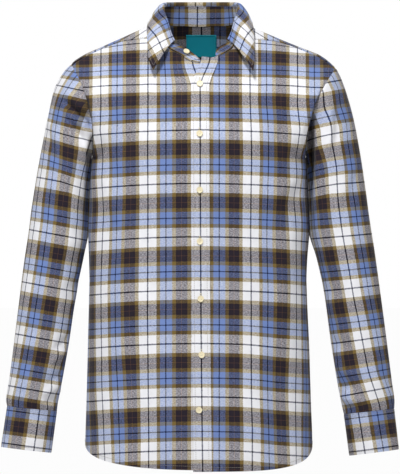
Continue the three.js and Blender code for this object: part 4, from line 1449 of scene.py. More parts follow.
@dataclass(frozen=True)
class Grain:
    """How the check lies on a sleeve.

    drift moves the columns by the place along the sleeve, and lift moves the rows. slope tilts the rows
    from the inside to the outside. low_slope and low_lift come on top towards the cuff, and cap_slope and
    cap_lift at the sleeve head.
    """

    drift: Curve
    slope: float
    low_slope: float
    low_lift: float
    lift: float
    cap_lift: float
    cap_slope: float


SLEEVE_GRAIN = {
    RIGHT: Grain(
        Curve(
            [-430, -280, -190, -120, -70, -20, 15, 45, 80],
            [-32, -38, -40, -38, -33.5, -31.5, -26, -19, -14],
        ),
        1.6, -0.8, -6.0, -47.0, 19.0, -9.0,
    ),
    LEFT: Grain(
        Curve(
            [-430, -400, -360, -290, -230, -185, -135, -75, -48, -16, 20, 55, 80, 112],
            [-21, -15, -8.5, -4.6, 0, 1, 1.8, -1.5, -4, -8, -9, -16, -17, -27],
        ),
        -4.5, 8.0, -6.5, -44.0, 9.6, 6.7,
    ),
}
CUFF_SHIFT = {RIGHT: (57.5, 23.2), LEFT: (-53.3, 18.1)}


def body_uv(grid: Array, face: Face) -> Array:
    """The check's measures on a body panel: round the body from its centre line, and up along the cloth.

    Args:
        grid: the panel's points.
        face: the front or the back.

    Returns:
        rows x columns x 2, in millimetres.
    """
    x, z = grid[..., 0], grid[..., 2]
    side = side_of(x)
    steps = np.linspace(0, 1, 25)

    def depth(across: Array, wide: Array, deep: Array, power: Array) -> Array:
        """Depth of a level section at a half-width."""
        return deep * np.maximum(0, 1 - np.clip(abs(across) / wide, 0, 1) ** power) ** (1 / power)

    level = [m[..., None] for m in section(side, face, np.minimum(z, CHEST))]

    def round_body(reach: Array) -> Array:
        """Distance round the body from the centre line to a half-width."""
        walk = reach[..., None] * steps
        return np.hypot(np.diff(walk), np.diff(depth(walk, *level))).sum(-1)

    near = np.minimum(abs(x), 170)
    across = mix(round_body(abs(x)), round_body(near) + 1.1 * (abs(x) - near), smooth(-240, -160, z)) * side
    up = np.minimum(z - CHEST, 0)
    high = z > CHEST
    if high.any():
        climb = CHEST + (z[high][:, None] - CHEST) * steps
        inside = side[high] * np.minimum(abs(x[high]), 160)
        back_y = depth(inside[:, None], *section(side[high][:, None], face, climb))
        walked = np.hypot(np.diff(climb), np.diff(back_y)).sum(-1)
        up[high] = walked * (1 + 0.09 * smooth(-176, -120, z[high]))
    share = np.where(across < 0, smooth(60, 150, abs(across)), smooth(30, 130, abs(across)))
    across = across + share * np.where(across < 0, -COLUMN_SHIFT["right"](z), COLUMN_SHIFT["left"](z)) - 1.0
    across = across + side * 6 * smooth(150, 186, abs(x)) * smooth(-610, -700, z)
    droop = 8.5 * (np.minimum(abs(x), 190) / 182) ** 2 + 3 * smooth(60, 150, x) * (1 - smooth(-560, -430, z))
    return np.stack([across, up + droop], -1)


def tube_uv(grid: Array, axis_from: tuple, axis_to: tuple, start: int) -> Array:
    """The check's measures round and along a sleeve.

    Args:
        grid: the tube's points, all the way round.
        axis_from: a point on the way of the grain, from which distance along is measured.
        axis_to: a second point on it.
        start: the column from which distance round is measured.

    Returns:
        rows x one column more x 2, in millimetres.
    """
    closed = np.concatenate([grid, grid[:, :1]], 1)
    axis = unit(np.array(axis_to, float) - np.array(axis_from, float))
    along = (closed - np.array(axis_from, float)) @ axis
    step = np.linalg.norm(np.diff(closed, axis=1), axis=-1)
    rise = np.diff(along, axis=1)
    level = np.sqrt(np.maximum(step ** 2 - rise ** 2, 0))
    far = np.concatenate([np.zeros((grid.shape[0], 1)), np.cumsum(level, 1)], 1)
    return np.stack([far - far[:, start][:, None], -along], -1)


# Creases

FRONT_FOLDS = {
    RIGHT: (
        Fold((-170, -120), (-112, -235), -2.4, 11, 5), Fold((-176, -228), (-138, -330), 2.6, 12, -5),
        Fold((-172, -262), (-150, -430), -2.6, 13, 7), Fold((-128, -360), (-142, -600), 2.4, 17, 8),
        Fold((-92, -250), (-86, -470), -1.6, 16, -6), Fold((-100, -520), (-92, -748), -2.8, 20, 5),
        Fold((-52, -430), (-60, -740), 2.2, 19, -7), Fold((-160, -560), (-166, -748), 2.6, 16, 3),
        Fold((-70, -66), (-106, -132), 1.4, 9, 3),
    ),
    LEFT: (
        Fold((172, -112), (128, -214), -3.0, 11, -5), Fold((178, -226), (122, -300), 2.4, 12, 6),
        Fold((168, -268), (140, -360), -2.8, 12, -4), Fold((150, -330), (158, -590), 2.6, 16, -7),
        Fold((112, -300), (126, -450), -2.2, 14, 5), Fold((84, -470), (96, -744), 2.6, 20, 6),
        Fold((46, -330), (52, -560), -1.3, 15, -5), Fold((134, -540), (140, -748), -3.0, 18, -4),
        Fold((78, -70), (120, -128), -1.5, 9, -3),
    ),
}
BACK_FOLDS = (
    Fold((-168, -150), (-112, -270), -2.8, 13, -5), Fold((-176, -226), (-120, -352), 2.6, 14, 6),
    Fold((166, -150), (120, -252), -2.6, 12, 5), Fold((177, -232), (110, -330), 2.8, 14, -6),
    Fold((-74, -112), (-88, -420), 2.0, 18, 7), Fold((58, -106), (80, -380), 2.2, 16, -6),
    Fold((8, -330), (-12, -640), -2.6, 22, 8), Fold((-118, -400), (-128, -735), -3.0, 20, -6),
    Fold((112, -380), (132, -728), -2.8, 19, 7), Fold((46, -460), (56, -742), 2.8, 21, 5),
    Fold((-56, -520), (-66, -744), 2.4, 20, -5), Fold((-150, -300), (-158, -560), 2.2, 15, 5),
    Fold((154, -330), (160, -540), 2.0, 15, -4),
)
# Places on a sleeve are its angle in degrees, from the inside past the front, and millimetres from the
# armhole.
SLEEVE_HOLLOWS = {
    RIGHT: (Fold((60, 12), (22, 204), 0.7, 6, 8, 0.0, 20),),
    LEFT: (Fold((90, -10), (22, 206), 0.86, 8, 15, 0.0, 40),),
}
SLEEVE_FOLDS = {
    RIGHT: (
        Fold((132, 50), (94, 26), -8.0, 5, 0, 0.5), Fold((104, 32), (62, -4), -11.0, 4.5, 3, 0.6),
        Fold((112, 62), (66, 30), -6.0, 6, -3), Fold((92, 78), (46, 50), 3.0, 9, 3),
        Fold((166, 128), (118, 150), -2.0, 9, 3), Fold((24, 214), (88, 300), 2.0, 13, -5),
        Fold((10, 300), (60, 350), -2.2, 12, 4), Fold((22, 420), (62, 448), -2.8, 6, 3),
        Fold((20, 446), (70, 474), 2.2, 6, -3), Fold((20, 474), (66, 497), -2.8, 6, 2),
        Fold((20, 498), (74, 520), 2.2, 6, 3), Fold((24, 532), (64, 540), -2.0, 5, 0),
        Fold((84, 430), (128, 462), 1.2, 9, 3), Fold((90, 500), (132, 520), 1.4, 8, -2),
        Fold((236, 60), (300, 190), -3.6, 13, -5), Fold((190, 250), (262, 320), 2.6, 14, 5),
        Fold((286, 330), (222, 380), -2.8, 12, 4), Fold((200, 420), (268, 452), 3.0, 10, 3),
        Fold((190, 466), (246, 480), -2.6, 8, -2), Fold((300, 474), (352, 516), 3.0, 9, 3),
    ),
    LEFT: (
        Fold((118, 18), (92, 96), 3.0, 9, -4),
        Fold((140, 40), (104, 118), -2.4, 9, 3), Fold((150, 190), (96, 236), -1.8, 12, 4),
        Fold((40, 250), (104, 330), 2.0, 14, 5), Fold((24, 330), (80, 372), -2.4, 12, -4),
        Fold((20, 430), (80, 452), -3.0, 8, -3), Fold((12, 458), (84, 486), 3.2, 7, 3),
        Fold((16, 494), (70, 508), -3.2, 6.5, -2), Fold((8, 516), (86, 530), 3.0, 7, 2),
        Fold((120, 480), (172, 520), -2.4, 9, 3), Fold((236, 50), (300, 170), -3.4, 12, 5),
        Fold((196, 236), (266, 330), 2.8, 14, -5), Fold((280, 350), (216, 400), -2.6, 12, -4),
        Fold((204, 430), (276, 470), 3.0, 10, 3), Fold((190, 490), (250, 498), -2.6, 8, 2),
        Fold((296, 470), (350, 508), 2.8, 9, -3),
    ),
}


def side_press(grid: Array, far: Array) -> Array:
    """How far the body's sides swell towards the sleeves that hang against them."""
    return SIDE_PRESS(grid[..., 2]) * np.exp(-((far / np.where(grid[..., 1] < 0, 9, 34)) ** 2))


def side_fullness(grid: Array, far: Array) -> Array:
    """How far a front stands forward beside its side seam, where the cloth turns sharply round."""
    z = grid[..., 2]
    level = smooth(-92, -150, z) * (1 - smooth(-330, -430, z))
    return 15 * smooth(0, 9, far) * (1 - smooth(14, 62, far)) * level


def seam_dip(far: Array) -> Array:
    """How far a seam draws the cloth in, by the distance from it."""
    return -1.2 * np.exp(-((far / 2.2) ** 2))


# What every piece shares

@dataclass(frozen=True)
class Cut:
    """What one sewn piece was cut to: its width and length, and its area, in metres."""

    width: float
    length: float
    area: float


@dataclass(frozen=True)
class Seam:
    """A row of stitches beside an edge, how far in it is and how much is left out at its ends."""

    edge: Edge
    inset: float
    trim: float


class Workroom:
    """Holds the shirt's materials and finishes each piece."""

    def __init__(self) -> None:
        """Makes the materials."""
        self.cloth = BrushedFlannel().material()
        self.thread = SpunThread("sewing_thread", "#8d867c").material()
        self.hole_thread = SpunThread("buttonhole_thread", "#d6cdb0").material()
        self.button_thread = SpunThread("button_thread", "#e6dcc0").material()
        self.label_thread = SpunThread("label_thread", "#0d7f89").material()
        self.label = WovenTaffeta().material()
        self.resin = CastResin().material()

    def keep(self, made: bpy.types.Object, material: bpy.types.Material, node: str | None = None) -> None:
        """Finishes a piece.

        Args:
            made: the piece.
            material: what it is made of.
            node: the solid that it stands for.
        """
        made.data.materials.append(material)
        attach(made, "root")
        if node:
            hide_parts(node)
        log.info("%s has %d faces", made.name, len(made.data.polygons))

    def sew(self, name: str, grid: Array, out: Array, raised: float, seams: Sequence[Seam],
            pitch: float = 3.4, thread: bpy.types.Material | None = None) -> None:
        """Runs seams beside a piece's edges.

        Args:
            name: what the stitches are called.
            grid: the piece's surface.
            out: its way out.
            raised: how far its face stands off.
            seams: the rows of stitches.
            pitch: from one stitch to the next, longer than on a real shirt so that each shows.
            thread: the thread's material, where it isn't the common one.
        """
        face = grid + out * raised
        parts = []
        for seam in seams:
            line = inset_line(face, seam.edge, seam.inset)
            line_up = unit(inset_line(face + out, seam.edge, seam.inset) - line)
            parts.append(along_line(line, line_up, pitch, seam.trim))
        start, end, up = (np.concatenate([p[i] for p in parts]) for i in range(3))
        self.keep(stitch_mesh(name, start, end, up, 0.26, 0.5), thread or self.thread)


# The body's pieces

@dataclass(frozen=True)
class BodyPanel:
    """What the fronts and the back share: a wall of cloth, a turned hem and seams that dip."""

    cut: Cut
    folds: tuple[Fold, ...]
    low_rows: int = 190
    thick: float = 1.1
    hem_thick: float = 0.9
    hem_raised: float = 0.15
    hem_from: float = 6.5
    hem_to: float = 7.5
    hem_inset: float = 6.8

    def dress(self, room: Workroom, name: str, grid: Array, out: Array, uv: Array, seams: set[Edge]) -> None:
        """Makes the panel's wall, sews its hem and keeps it.

        Args:
            room: the materials and the finishing.
            name: the node that the panel stands for.
            grid: its creased surface.
            out: its way out.
            uv: the check's measures on it.
            seams: the edges where it is seamed to other pieces.
        """
        hem = 1 - smooth(self.hem_from, self.hem_to, near_edges(grid, {Edge.LOW}))
        dip = seam_dip(near_edges(grid, seams)) * smooth(-206, -184, grid[..., 2])
        thick, raised = self.thick + self.hem_thick * hem, self.hem_raised * hem + dip
        made = shell(f"{name}_cloth", grid, out, uv, thick, raised)
        room.sew(f"{name}_hem_thread", grid, out, 0.2, [Seam(Edge.LOW, self.hem_inset, 2)])
        room.keep(made, room.cloth, name)


@dataclass(frozen=True)
class Front(BodyPanel):
    """One front, with its hem."""

    side: Side = RIGHT
    edge_x: Callable[[Array], Array] = under_edge
    columns: int = 6
    high_rows: int = 72

    def build(self, room: Workroom) -> None:
        """Makes the front.

        Args:
            room: the materials and the finishing.
        """
        grid = front_grid(self.side, self.edge_x, self.columns, self.low_rows, self.high_rows)
        uv = body_uv(grid, FRONT)
        if self.side == RIGHT:
            near = smooth(-75, -10, grid[..., 0])
            uv[..., 0] += 13.5 * smooth(-104, -58, grid[..., 2]) * near
        out = body_facing(grid)
        seams = {Edge.HIGH, Edge.LAST}
        sides = near_edges(grid, {Edge.LAST})
        high = fold_height(grid[..., [0, 2]], self.folds)
        high = high * smooth(0, 14, near_edges(grid, seams)) + side_press(grid, sides)
        full = side_fullness(grid, sides)
        grid = grid + out * high[..., None]
        grid[..., 1] -= full
        self.dress(room, f"front_{self.side.word}", grid, out, uv, seams)


@dataclass(frozen=True)
class Back(BodyPanel):
    """The back, with its hem."""

    columns: int = 150
    high_rows: int = 66

    def build(self, room: Workroom) -> None:
        """Makes the back.

        Args:
            room: the materials and the finishing.
        """
        grid = back_grid(self.columns, self.low_rows, self.high_rows)
        uv = body_uv(grid, BACK)
        out = body_facing(grid)
        seams = {Edge.HIGH, Edge.FIRST, Edge.LAST}
        high = fold_height(grid[..., [0, 2]], self.folds) * smooth(0, 14, near_edges(grid, seams))
        high = high + side_press(grid, near_edges(grid, {Edge.FIRST, Edge.LAST}))
        grid = grid + out * high[..., None]
        self.dress(room, "back", grid, out, uv, seams)


@dataclass(frozen=True)
class Yoke:
    """The yoke, its front and back seams topstitched."""

    cut: Cut
    columns: int = 6
    rows: int = 60
    thick: float = 1.2
    edge_thick: float = 0.5
    inset: float = 2.0
    front_columns: int = 43

    def build(self, room: Workroom) -> None:
        """Makes the yoke.

        Args:
            room: the materials and the finishing.
        """
        grid = yoke_grid(self.columns, self.rows)
        over = np.linalg.norm(np.diff(grid, axis=0), axis=-1)
        along = np.concatenate([np.zeros((1, grid.shape[1])), np.cumsum(over, 0)])
        along = along - along[-1][None]
        uv = np.stack([grid[..., 0] - 2.7, along + 70.0], -1)
        out = body_facing(grid)
        edge = 1 - smooth(5.5, 7, near_edges(grid, {Edge.LOW, Edge.HIGH}))
        dip = seam_dip(near_edges(grid, {Edge.FIRST, Edge.LAST}))
        made = shell(
            "yoke_cloth", grid, out, uv, self.thick + self.edge_thick * edge, self.edge_thick * edge + dip,
        )
        room.sew("yoke_thread", grid, out, 0.5, [Seam(Edge.HIGH, self.inset, 3)])
        n = self.front_columns
        for name, part in (("right", slice(0, n)), ("left", slice(-n, None))):
            room.sew(f"yoke_{name}_thread", grid[:, part], out[:, part], 0.5, [Seam(Edge.LOW, self.inset, 3)])
        room.keep(made, room.cloth, "yoke")


@dataclass(frozen=True)
class Placket:
    """The front placket, topstitched along both sides."""

    cut: Cut
    rows: int = 300
    columns: int = 16
    raised: float = 2.3
    inset: float = 5.0

    def build(self, room: Workroom) -> None:
        """Makes the placket.

        Args:
            room: the materials and the finishing.
        """
        grid = placket_grid(self.rows, self.columns)
        uv = np.stack([span_uv(grid, self.columns // 2), body_uv(grid, FRONT)[..., 1]], -1)
        out = body_facing(grid)
        thick = self.raised + 0.4 * smooth(0, 2.0, near_edges(grid, set(Edge)))
        made = shell("front_placket_cloth", grid, out, uv, thick, thick)
        room.sew("placket_thread", grid, out, 2.7, [
            Seam(Edge.FIRST, self.inset, 1), Seam(Edge.LAST, self.inset, 1), Seam(Edge.LOW, 6.8, 1),
        ])
        room.keep(made, room.cloth, "front_placket")


# The sleeves' pieces

@dataclass(frozen=True)
class Sleeve:
    """A sleeve, one piece set in the armhole."""

    cut: Cut
    side: Side
    rows: int = 200
    around: int = 144
    thick: float = 1.1
    long: float = 560.0
    head: float = 0.3

    def measures(self, grid: Array) -> Array:
        """The check's measures on the sleeve.

        Args:
            grid: its points.

        Returns:
            rows x one column more x 2, in millimetres.
        """
        side, grain = self.side, SLEEVE_GRAIN[self.side]
        uv = tube_uv(grid, (side * 222, 0, -222), (side * 286, 0, -650), self.around // 4)
        angle = np.linspace(0, 2 * math.pi, self.around + 1)[None]
        share = np.linspace(0, 1, self.rows + 1)[:, None]
        cap = np.maximum(0, 1 - share / self.head)
        uv[..., 0] = side * uv[..., 0] + grain.drift(uv[..., 1]) - side * 5.5 * np.cos(angle)
        slope = grain.slope + grain.low_slope * share ** 3
        uv[..., 1] += grain.lift + grain.low_lift * share ** 3 + slope * np.cos(angle)
        uv[..., 1] += cap * (grain.cap_lift + grain.cap_slope * np.cos(angle))
        return uv

    def build(self, room: Workroom) -> None:
        """Makes the sleeve.

        Args:
            room: the materials and the finishing.
        """
        grid = sleeve_grid(self.side, self.rows, self.around)
        uv = self.measures(grid)
        out = outward(grid_facing(grid, True), grid, grid.mean(1, keepdims=True))
        angle = np.linspace(0, 2 * math.pi, self.around + 1)[None, :-1]
        share = np.linspace(0, 1, self.rows + 1)[:, None]
        place = np.stack(np.broadcast_arrays(np.degrees(angle), share * self.long), -1)
        back = place - np.array([360, 0])
        folds, hollows = SLEEVE_FOLDS[self.side], SLEEVE_HOLLOWS[self.side]
        seam = near_edges(grid, {Edge.LOW})
        inner = 1.3 * np.exp(-((((place[..., 0] + 206) % 360 - 180) / 26) ** 2))
        high = (fold_height(place, folds) + fold_height(back, folds)) * smooth(0, 5, seam)
        high = high + inner * SIDE_PRESS(grid[..., 2])
        hollow = (fold_height(place, hollows) + fold_height(back, hollows)) * smooth(0, 5, seam)
        grid = grid + out * high[..., None]
        grid[..., 1] *= 1 - hollow
        dip = seam_dip(near_edges(grid, {Edge.LOW})) * smooth(0.1, 0.4, 1 - np.cos(angle))
        name = f"sleeve_{self.side.word}"
        made = shell(f"{name}_cloth", grid, out, uv, self.thick, dip, True)
        room.keep(made, room.cloth, name)


@dataclass(frozen=True)
class Cuff:
    """A cuff, its two ends lapped and its edges topstitched."""

    cut: Cut
    side: Side
    rows: int = 24
    around: int = 150
    thick: float = 1.6
    puff: float = 0.35
    inset: float = 5.0

    def build(self, room: Workroom) -> None:
        """Makes the cuff.

        Args:
            room: the materials and the finishing.
        """
        side = self.side
        grid = cuff_grid(side, self.rows, self.around)
        axis = unit(np.array([side * 9.5, -1.0, -70.0]))
        along = (grid - np.array([side * 286.0, -15.0, -648.0])) @ axis
        shift = CUFF_SHIFT[side]
        uv = np.stack([side * span_uv(grid, 0) + shift[0], 1.04 * along + shift[1]], -1)
        out = outward(grid_facing(grid), grid, grid.mean(1, keepdims=True))
        puff = self.puff * smooth(0, 2.5, near_edges(grid, set(Edge)))
        made = shell(f"cuff_{side.word}_cloth", grid, out, uv, self.thick + puff, puff)
        room.sew(f"cuff_{side.word}_thread", grid, out, self.puff, [
            Seam(Edge.LOW, self.inset, 5), Seam(Edge.LOW, 1.8, 2), Seam(Edge.HIGH, self.inset, 5),
            Seam(Edge.FIRST, self.inset, 5), Seam(Edge.LAST, self.inset, 5),
        ])
        room.keep(made, room.cloth, f"cuff_{side.word}")


@dataclass(frozen=True)
class SleevePlacket:
    """The strip over a sleeve's opening."""

    cut: Cut
    side: Side
    rows: int = 40
    columns: int = 10
    thick: float = 1.6
    raised: float = 1.9
    inset: float = 1.8
    bar: float = 20.0

    def build(self, room: Workroom) -> None:
        """Makes the strip.

        Args:
            room: the materials and the finishing.
        """
        name = f"sleeve_placket_{self.side.word}"
        grid = sleeve_placket_grid(self.side, self.rows, self.columns)
        along = -np.linalg.norm(grid - grid[:1], axis=-1)
        uv = np.stack([self.side * span_uv(grid, self.columns // 2), along], -1)
        middle = tube_point(SLEEVE, self.side, 0.9, np.linspace(0, 6, 9)).mean(0)
        out = outward(grid_facing(grid), grid, middle)
        made = shell(f"{name}_cloth", grid, out, uv, self.thick, self.raised)
        room.sew(f"{name}_thread", grid, out, self.raised, [
            Seam(Edge.FIRST, self.inset, 1.8), Seam(Edge.LAST, self.inset, 1.8),
            Seam(Edge.LOW, self.inset, 1.8), Seam(Edge.LOW, self.bar, 1.8),
        ])
        room.keep(made, room.cloth, name)


# The collar and the label

@dataclass(frozen=True)
class CollarStand:
    """The collar stand, its foot topstitched."""

    cut: Cut
    rows: int = 14
    half_columns: int = 90
    thick: float = 1.8
    high: float = 36.0

    def build(self, room: Workroom) -> None:
        """Makes the stand.

        Args:
            room: the materials and the finishing.
        """
        half = self.half_columns
        grid = stand_grid(self.rows, half)
        rise = np.linspace(0, self.high, self.rows + 1)[:, None] + 0 * grid[..., 0]
        uv = np.stack([-span_uv(grid, half) - 4.0, rise + 18.0], -1)
        far = np.linspace(-1, 1, 2 * half + 1)
        uv[..., 0] -= np.where(far < 0, 40, 25) * smooth(0.5, 0.72, abs(far))
        out = grid_facing(grid)
        out = out * np.sign(out[:, half, 1].sum())
        made = shell("collar_stand_cloth", grid, out, uv, self.thick, 0.0)
        room.sew("stand_thread", grid, out, 0.0, [Seam(Edge.LOW, 1.8, 1)])
        room.keep(made, room.cloth, "collar_stand")


@dataclass(frozen=True)
class CollarLeaf:
    """The collar leaf, turned down over the stand, its points raised a little and its edges topstitched."""

    cut: Cut
    rows: int = 44
    half_columns: int = 80
    fold_row: int = 7
    thick: float = 1.3
    puff: float = 0.35
    point_raised: float = 8.0
    inset: float = 5.0

    def measures(self, grid: Array) -> Array:
        """The check's measures on the leaf: round the neck behind, and on the flat along each point.

        Args:
            grid: its points.

        Returns:
            rows x columns x 2, in millimetres.
        """
        half, fold = self.half_columns, self.fold_row
        edge_far = span_uv(grid, half)
        step = np.linalg.norm(np.diff(grid, axis=0), axis=-1)
        down = np.concatenate([np.zeros((1, grid.shape[1])), np.cumsum(step, 0)])
        uv = np.stack([edge_far[fold][None] + 0 * down, down[fold][None] - down], -1)
        place = np.arange(2 * half + 1) - half
        share = abs(place) / half
        for first, end in ((26, 0), (134, 2 * half)):
            start, run = grid[fold, first], unit(grid[fold, end] - grid[fold, first])
            ahead = (grid - start) @ run
            away = np.linalg.norm(grid - start - ahead[..., None] * run, axis=-1) * np.sign(down - down[fold])
            way, lean = (1, 0.45) if end else (-1, 0.25)
            flat = np.stack([
                edge_far[fold, first] + way * (ahead - lean * (away - 31)), 0.12 * (ahead - 45) - 1.25 * away,
            ], -1)
            near = (smooth(0.5, 0.8, share) * ((place > 0) == (end > 0)))[None, :, None]
            uv = mix(uv, flat, near)
        signed = place / 60
        uv[..., 0] += 9.1 + 19.5 * np.clip(signed, -1, 1)
        uv[..., 0] += 0.25 * smooth(0.5, 0.8, share) * (uv[..., 0] - 2 * REPEAT * np.sign(signed))
        uv[..., 1] += 12 + 30 * smooth(0.3, 0.6, share)
        return uv

    def build(self, room: Workroom) -> None:
        """Makes the leaf.

        Args:
            room: the materials and the finishing.
        """
        half = self.half_columns
        grid = leaf_grid(self.rows, half)
        uv = self.measures(grid)
        out = grid_facing(grid)
        out = out * np.sign(out[-4, half, 1])
        puff = self.puff * smooth(0, 2.5, near_edges(grid, {Edge.HIGH, Edge.FIRST, Edge.LAST}))
        share = abs(np.arange(2 * half + 1) - half) / half
        row = np.linspace(0, 1, len(grid))[:, None]
        raised = self.point_raised * smooth(0.55, 0.95, share) * smooth(0.35, 0.8, row)
        grid = grid + np.array([0, -1, 0]) * raised[..., None]
        made = shell("collar_leaf_cloth", grid, out, uv, self.thick + puff, puff)
        room.sew("leaf_thread", grid[12:], out[12:], self.puff, [
            Seam(Edge.HIGH, self.inset, 5), Seam(Edge.FIRST, self.inset, 5), Seam(Edge.LAST, self.inset, 5),
        ])
        room.keep(made, room.cloth, "collar_leaf")


@dataclass(frozen=True)
class NeckLabel:
    """The bare label, sewn to the inside of the yoke."""

    rows: int = 12
    columns: int = 16
    thick: float = 0.6
    raised: float = -2.0
    inset: float = 1.2
    pitch: float = 2.4

    def build(self, room: Workroom) -> None:
        """Makes the label.

        Args:
            room: the materials and the finishing.
        """
        grid = label_grid(self.rows, self.columns)
        out = body_facing(grid)
        made = shell("neck_label_cloth", grid, out, grid[..., [0, 2]], self.thick, self.raised)
        seams = [Seam(edge, self.inset, 1) for edge in Edge]
        room.sew("label_thread", grid, -out, 2.6, seams, self.pitch, room.label_thread)
        room.keep(made, room.label, "neck_label")


# The buttons

@dataclass(frozen=True)
class Buttons:
    """The finish and the thread of all the buttons, and the buttonholes of the front ones."""

    hole: float = 1.1
    thread_reach: float = 1.35
    thread_high: float = 1.85
    strands: tuple[float, ...] = (-0.22, 0.0, 0.22)
    hole_long: float = 7.8
    hole_stitches: int = 84
    placket_face: float = 2.85
    level: str = "button_7"

    @staticmethod
    def spots(node: bpy.types.Object) -> Array:
        """The points of a button's solid, in millimetres."""
        return np.array([node.matrix_world @ v.co for v in node.data.vertices]) / MM

    def polish(self, room: Workroom, nodes: dict[str, bpy.types.Object]) -> None:
        """Gives the buttons' solids their finish.

        Args:
            room: the materials and the finishing.
            nodes: the buttons' solids by name.
        """
        for node in nodes.values():
            node.data.materials.clear()
            node.data.materials.append(room.resin)
            node.data.shade_smooth()
            node.data.set_sharp_from_angle(angle=math.radians(35))

    def tie(self, room: Workroom, nodes: dict[str, bpy.types.Object]) -> None:
        """Runs the thread through each button's four holes.

        Args:
            room: the materials and the finishing.
            nodes: the buttons' solids by name.
        """
        start, end, ups = [], [], []
        for name, node in nodes.items():
            spots = self.spots(node)
            middle = spots.mean(0)
            out = np.linalg.svd(spots - middle)[2][2]
            out = out * (1 if (out[1] > 0) == ("cuff" in name) else -1)
            turn = Vector((0, 0, 1)).rotation_difference(Vector(out))
            base = middle + out * ((spots - middle) @ out).min()
            for x in (-self.hole, self.hole):
                for shift in self.strands:
                    for place, y in ((start, -self.thread_reach), (end, self.thread_reach)):
                        place.append(base + np.array(turn @ Vector((x + shift, y, self.thread_high))))
                    ups.append(out)
        made = stitch_mesh("button_thread", np.array(start), np.array(end), np.array(ups), 0.13, 0.3)
        room.keep(made, room.button_thread)

    def work_holes(self, room: Workroom, nodes: dict[str, bpy.types.Object]) -> None:
        """Runs close stitches round each buttonhole of the placket.

        Args:
            room: the materials and the finishing.
            nodes: the front buttons' solids by name.
        """
        start, end, ups = [], [], []
        for name, node in nodes.items():
            middle = self.spots(node).mean(0)
            level = name == self.level
            x, z = (middle[0] + 4.6, middle[2]) if level else (middle[0] - 0.2, middle[2] + 1.6)
            for k in range(self.hole_stitches):
                turn = 2 * math.pi * k / self.hole_stitches
                c, sn = math.cos(turn), math.sin(turn)
                core = math.copysign(min(abs(c) * 12, self.hole_long - 1.3), c)
                near, far = np.array([sn * 0.35, core + c * 0.3]), np.array([sn * 1.45, core + c * 1.3])
                for place, spot in ((start, near), (end, far)):
                    across, up = spot[::-1] if level else spot
                    at_x, at_z = np.array([x + across]), np.array([z + up])
                    surface = body_point(FRONT, g_of(FRONT, at_x, at_z), at_z)[0]
                    facing = body_facing(surface[None])[0]
                    place.append(surface + self.placket_face * facing)
                ups.append(facing)
        made = stitch_mesh("buttonholes", np.array(start), np.array(end), np.array(ups), 0.24, 0.5)
        room.keep(made, room.hole_thread)

    def build(self, room: Workroom) -> None:
        """Dresses the buttons.

        Args:
            room: the materials and the finishing.
        """
        nodes = {name: node for name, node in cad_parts.items() if "button" in name}
        front = {name: node for name, node in nodes.items() if "cuff" not in name and "collar" not in name}
        self.polish(room, nodes)
        self.tie(room, nodes)
        self.work_holes(room, front)


# The studio

@dataclass(frozen=True)
class Lamp:
    """A soft square light turned towards a point."""

    name: str
    place: tuple[float, float, float]
    aim: tuple[float, float, float]
    size: float
    power: float

    def build(self) -> None:
        """Hangs the light."""
        data = bpy.data.lights.new(self.name, "AREA")
        data.shape = "SQUARE"
        data.size = self.size
        data.energy = self.power
        made = bpy.data.objects.new(self.name, data)
        made.location = self.place
        made.rotation_euler = (Vector(self.aim) - Vector(self.place)).to_track_quat("-Z", "Y").to_euler()
        made.visible_camera = False
        bpy.context.scene.collection.objects.link(made)


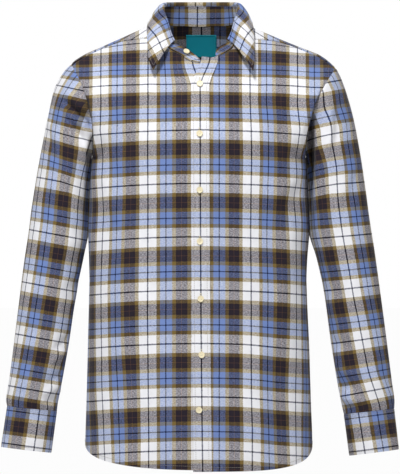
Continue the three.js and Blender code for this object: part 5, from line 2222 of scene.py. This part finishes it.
@dataclass(frozen=True)
class Studio:
    """A pale floor, soft light all round and the camera, in metres."""

    lamps: tuple[Lamp, ...] = (
        Lamp("key", (-0.6, -2.5, 3.1), (0, 0, -0.3), 0.7, 156),
        Lamp("left_fill", (-3.1, -2.9, 0.4), (0, 0, -0.4), 1.2, 27),
        Lamp("right_fill", (3.1, -2.9, 0.4), (0, 0, -0.4), 1.2, 27),
        Lamp("back", (0.7, 3.3, 2.2), (0, 0, -0.3), 1.6, 70),
    )
    world_light: float = 0.2
    floor_z: float = -0.84
    floor_half: float = 60.0
    floor_seen: float = 0.98
    camera_far: float = 20.0
    camera_x: float = 0.0005
    camera_z: float = -0.357
    picture_high: float = 474 * 1.7 * MM
    sensor: float = 36.0

    def air(self) -> None:
        """White all round to the eye, and a soft light."""
        world = bpy.data.worlds.new("studio")
        bpy.context.scene.world = world
        world.use_nodes = True
        tree = world.node_tree
        tree.nodes.clear()
        seen = add(tree, "Background", Color=(1, 1, 1, 1), Strength=1.0)
        lit = add(tree, "Background", Color=(1, 1, 1, 1), Strength=self.world_light)
        eye = add(tree, "LightPath", output="Is Camera Ray")
        add(tree, "OutputWorld", add(tree, "MixShader", eye, lit, seen))

    def floor(self) -> None:
        """A pale floor that the eye sees as white."""
        low, half = self.floor_z, self.floor_half
        mesh = bpy.data.meshes.new("floor")
        corners = [(-half, -half, low), (half, -half, low), (half, half, low), (-half, half, low)]
        mesh.from_pydata(corners, [], [(0, 1, 2, 3)])
        stage = bpy.data.objects.new("floor", mesh)
        bpy.context.scene.collection.objects.link(stage)
        pale, tree = blank_material("pale_floor")
        seen = add(tree, "Emission", Color=(1, 1, 1, 1), Strength=self.floor_seen)
        lit = add(tree, "BsdfDiffuse", Color=(0.6, 0.6, 0.6, 1))
        eye = add(tree, "LightPath", output="Is Camera Ray")
        add(tree, "OutputMaterial", add(tree, "MixShader", eye, lit, seen))
        mesh.materials.append(pale)

    def camera(self) -> None:
        """The camera, far off and straight in front."""
        lens = bpy.data.cameras.new("camera")
        camera = bpy.data.objects.new("camera", lens)
        lens.sensor_width = self.sensor
        lens.lens = self.sensor * self.camera_far / self.picture_high
        lens.clip_end = 200
        camera.location = (self.camera_x, -self.camera_far, self.camera_z)
        camera.rotation_euler = (math.pi / 2, 0, 0)
        bpy.context.scene.collection.objects.link(camera)
        bpy.context.scene.camera = camera

    def build(self) -> None:
        """Sets up the studio."""
        bpy.context.scene.view_settings.view_transform = "Standard"
        self.air()
        for lamp in self.lamps:
            lamp.build()
        self.floor()
        self.camera()


def main() -> None:
    """Builds the shirt's pieces in order, then the studio."""
    logging.basicConfig(level=logging.INFO)
    room = Workroom()
    pieces = [
        Front(Cut(0.27, 0.75, 0.165), FRONT_FOLDS[RIGHT], side=RIGHT, edge_x=under_edge),
        Front(Cut(0.26, 0.75, 0.155), FRONT_FOLDS[LEFT], side=LEFT, edge_x=over_edge),
        Placket(Cut(0.032, 0.7, 0.0224)),
        Back(Cut(0.56, 0.7, 0.34), BACK_FOLDS),
        Yoke(Cut(0.5, 0.2, 0.085)),
    ]
    for side in (RIGHT, LEFT):
        pieces += [
            Sleeve(Cut(0.36, 0.6, 0.17), side),
            Cuff(Cut(0.25, 0.072, 0.018), side),
            SleevePlacket(Cut(0.026, 0.09, 0.0022), side),
        ]
    pieces += [CollarStand(Cut(0.42, 0.04, 0.015)), CollarLeaf(Cut(0.42, 0.075, 0.0245))]
    pieces += [NeckLabel(), Buttons()]
    for piece in pieces:
        piece.build(room)
        log.info("built the %s", type(piece).__name__)
    Studio().build()


if __name__ == "__main__":
    main()
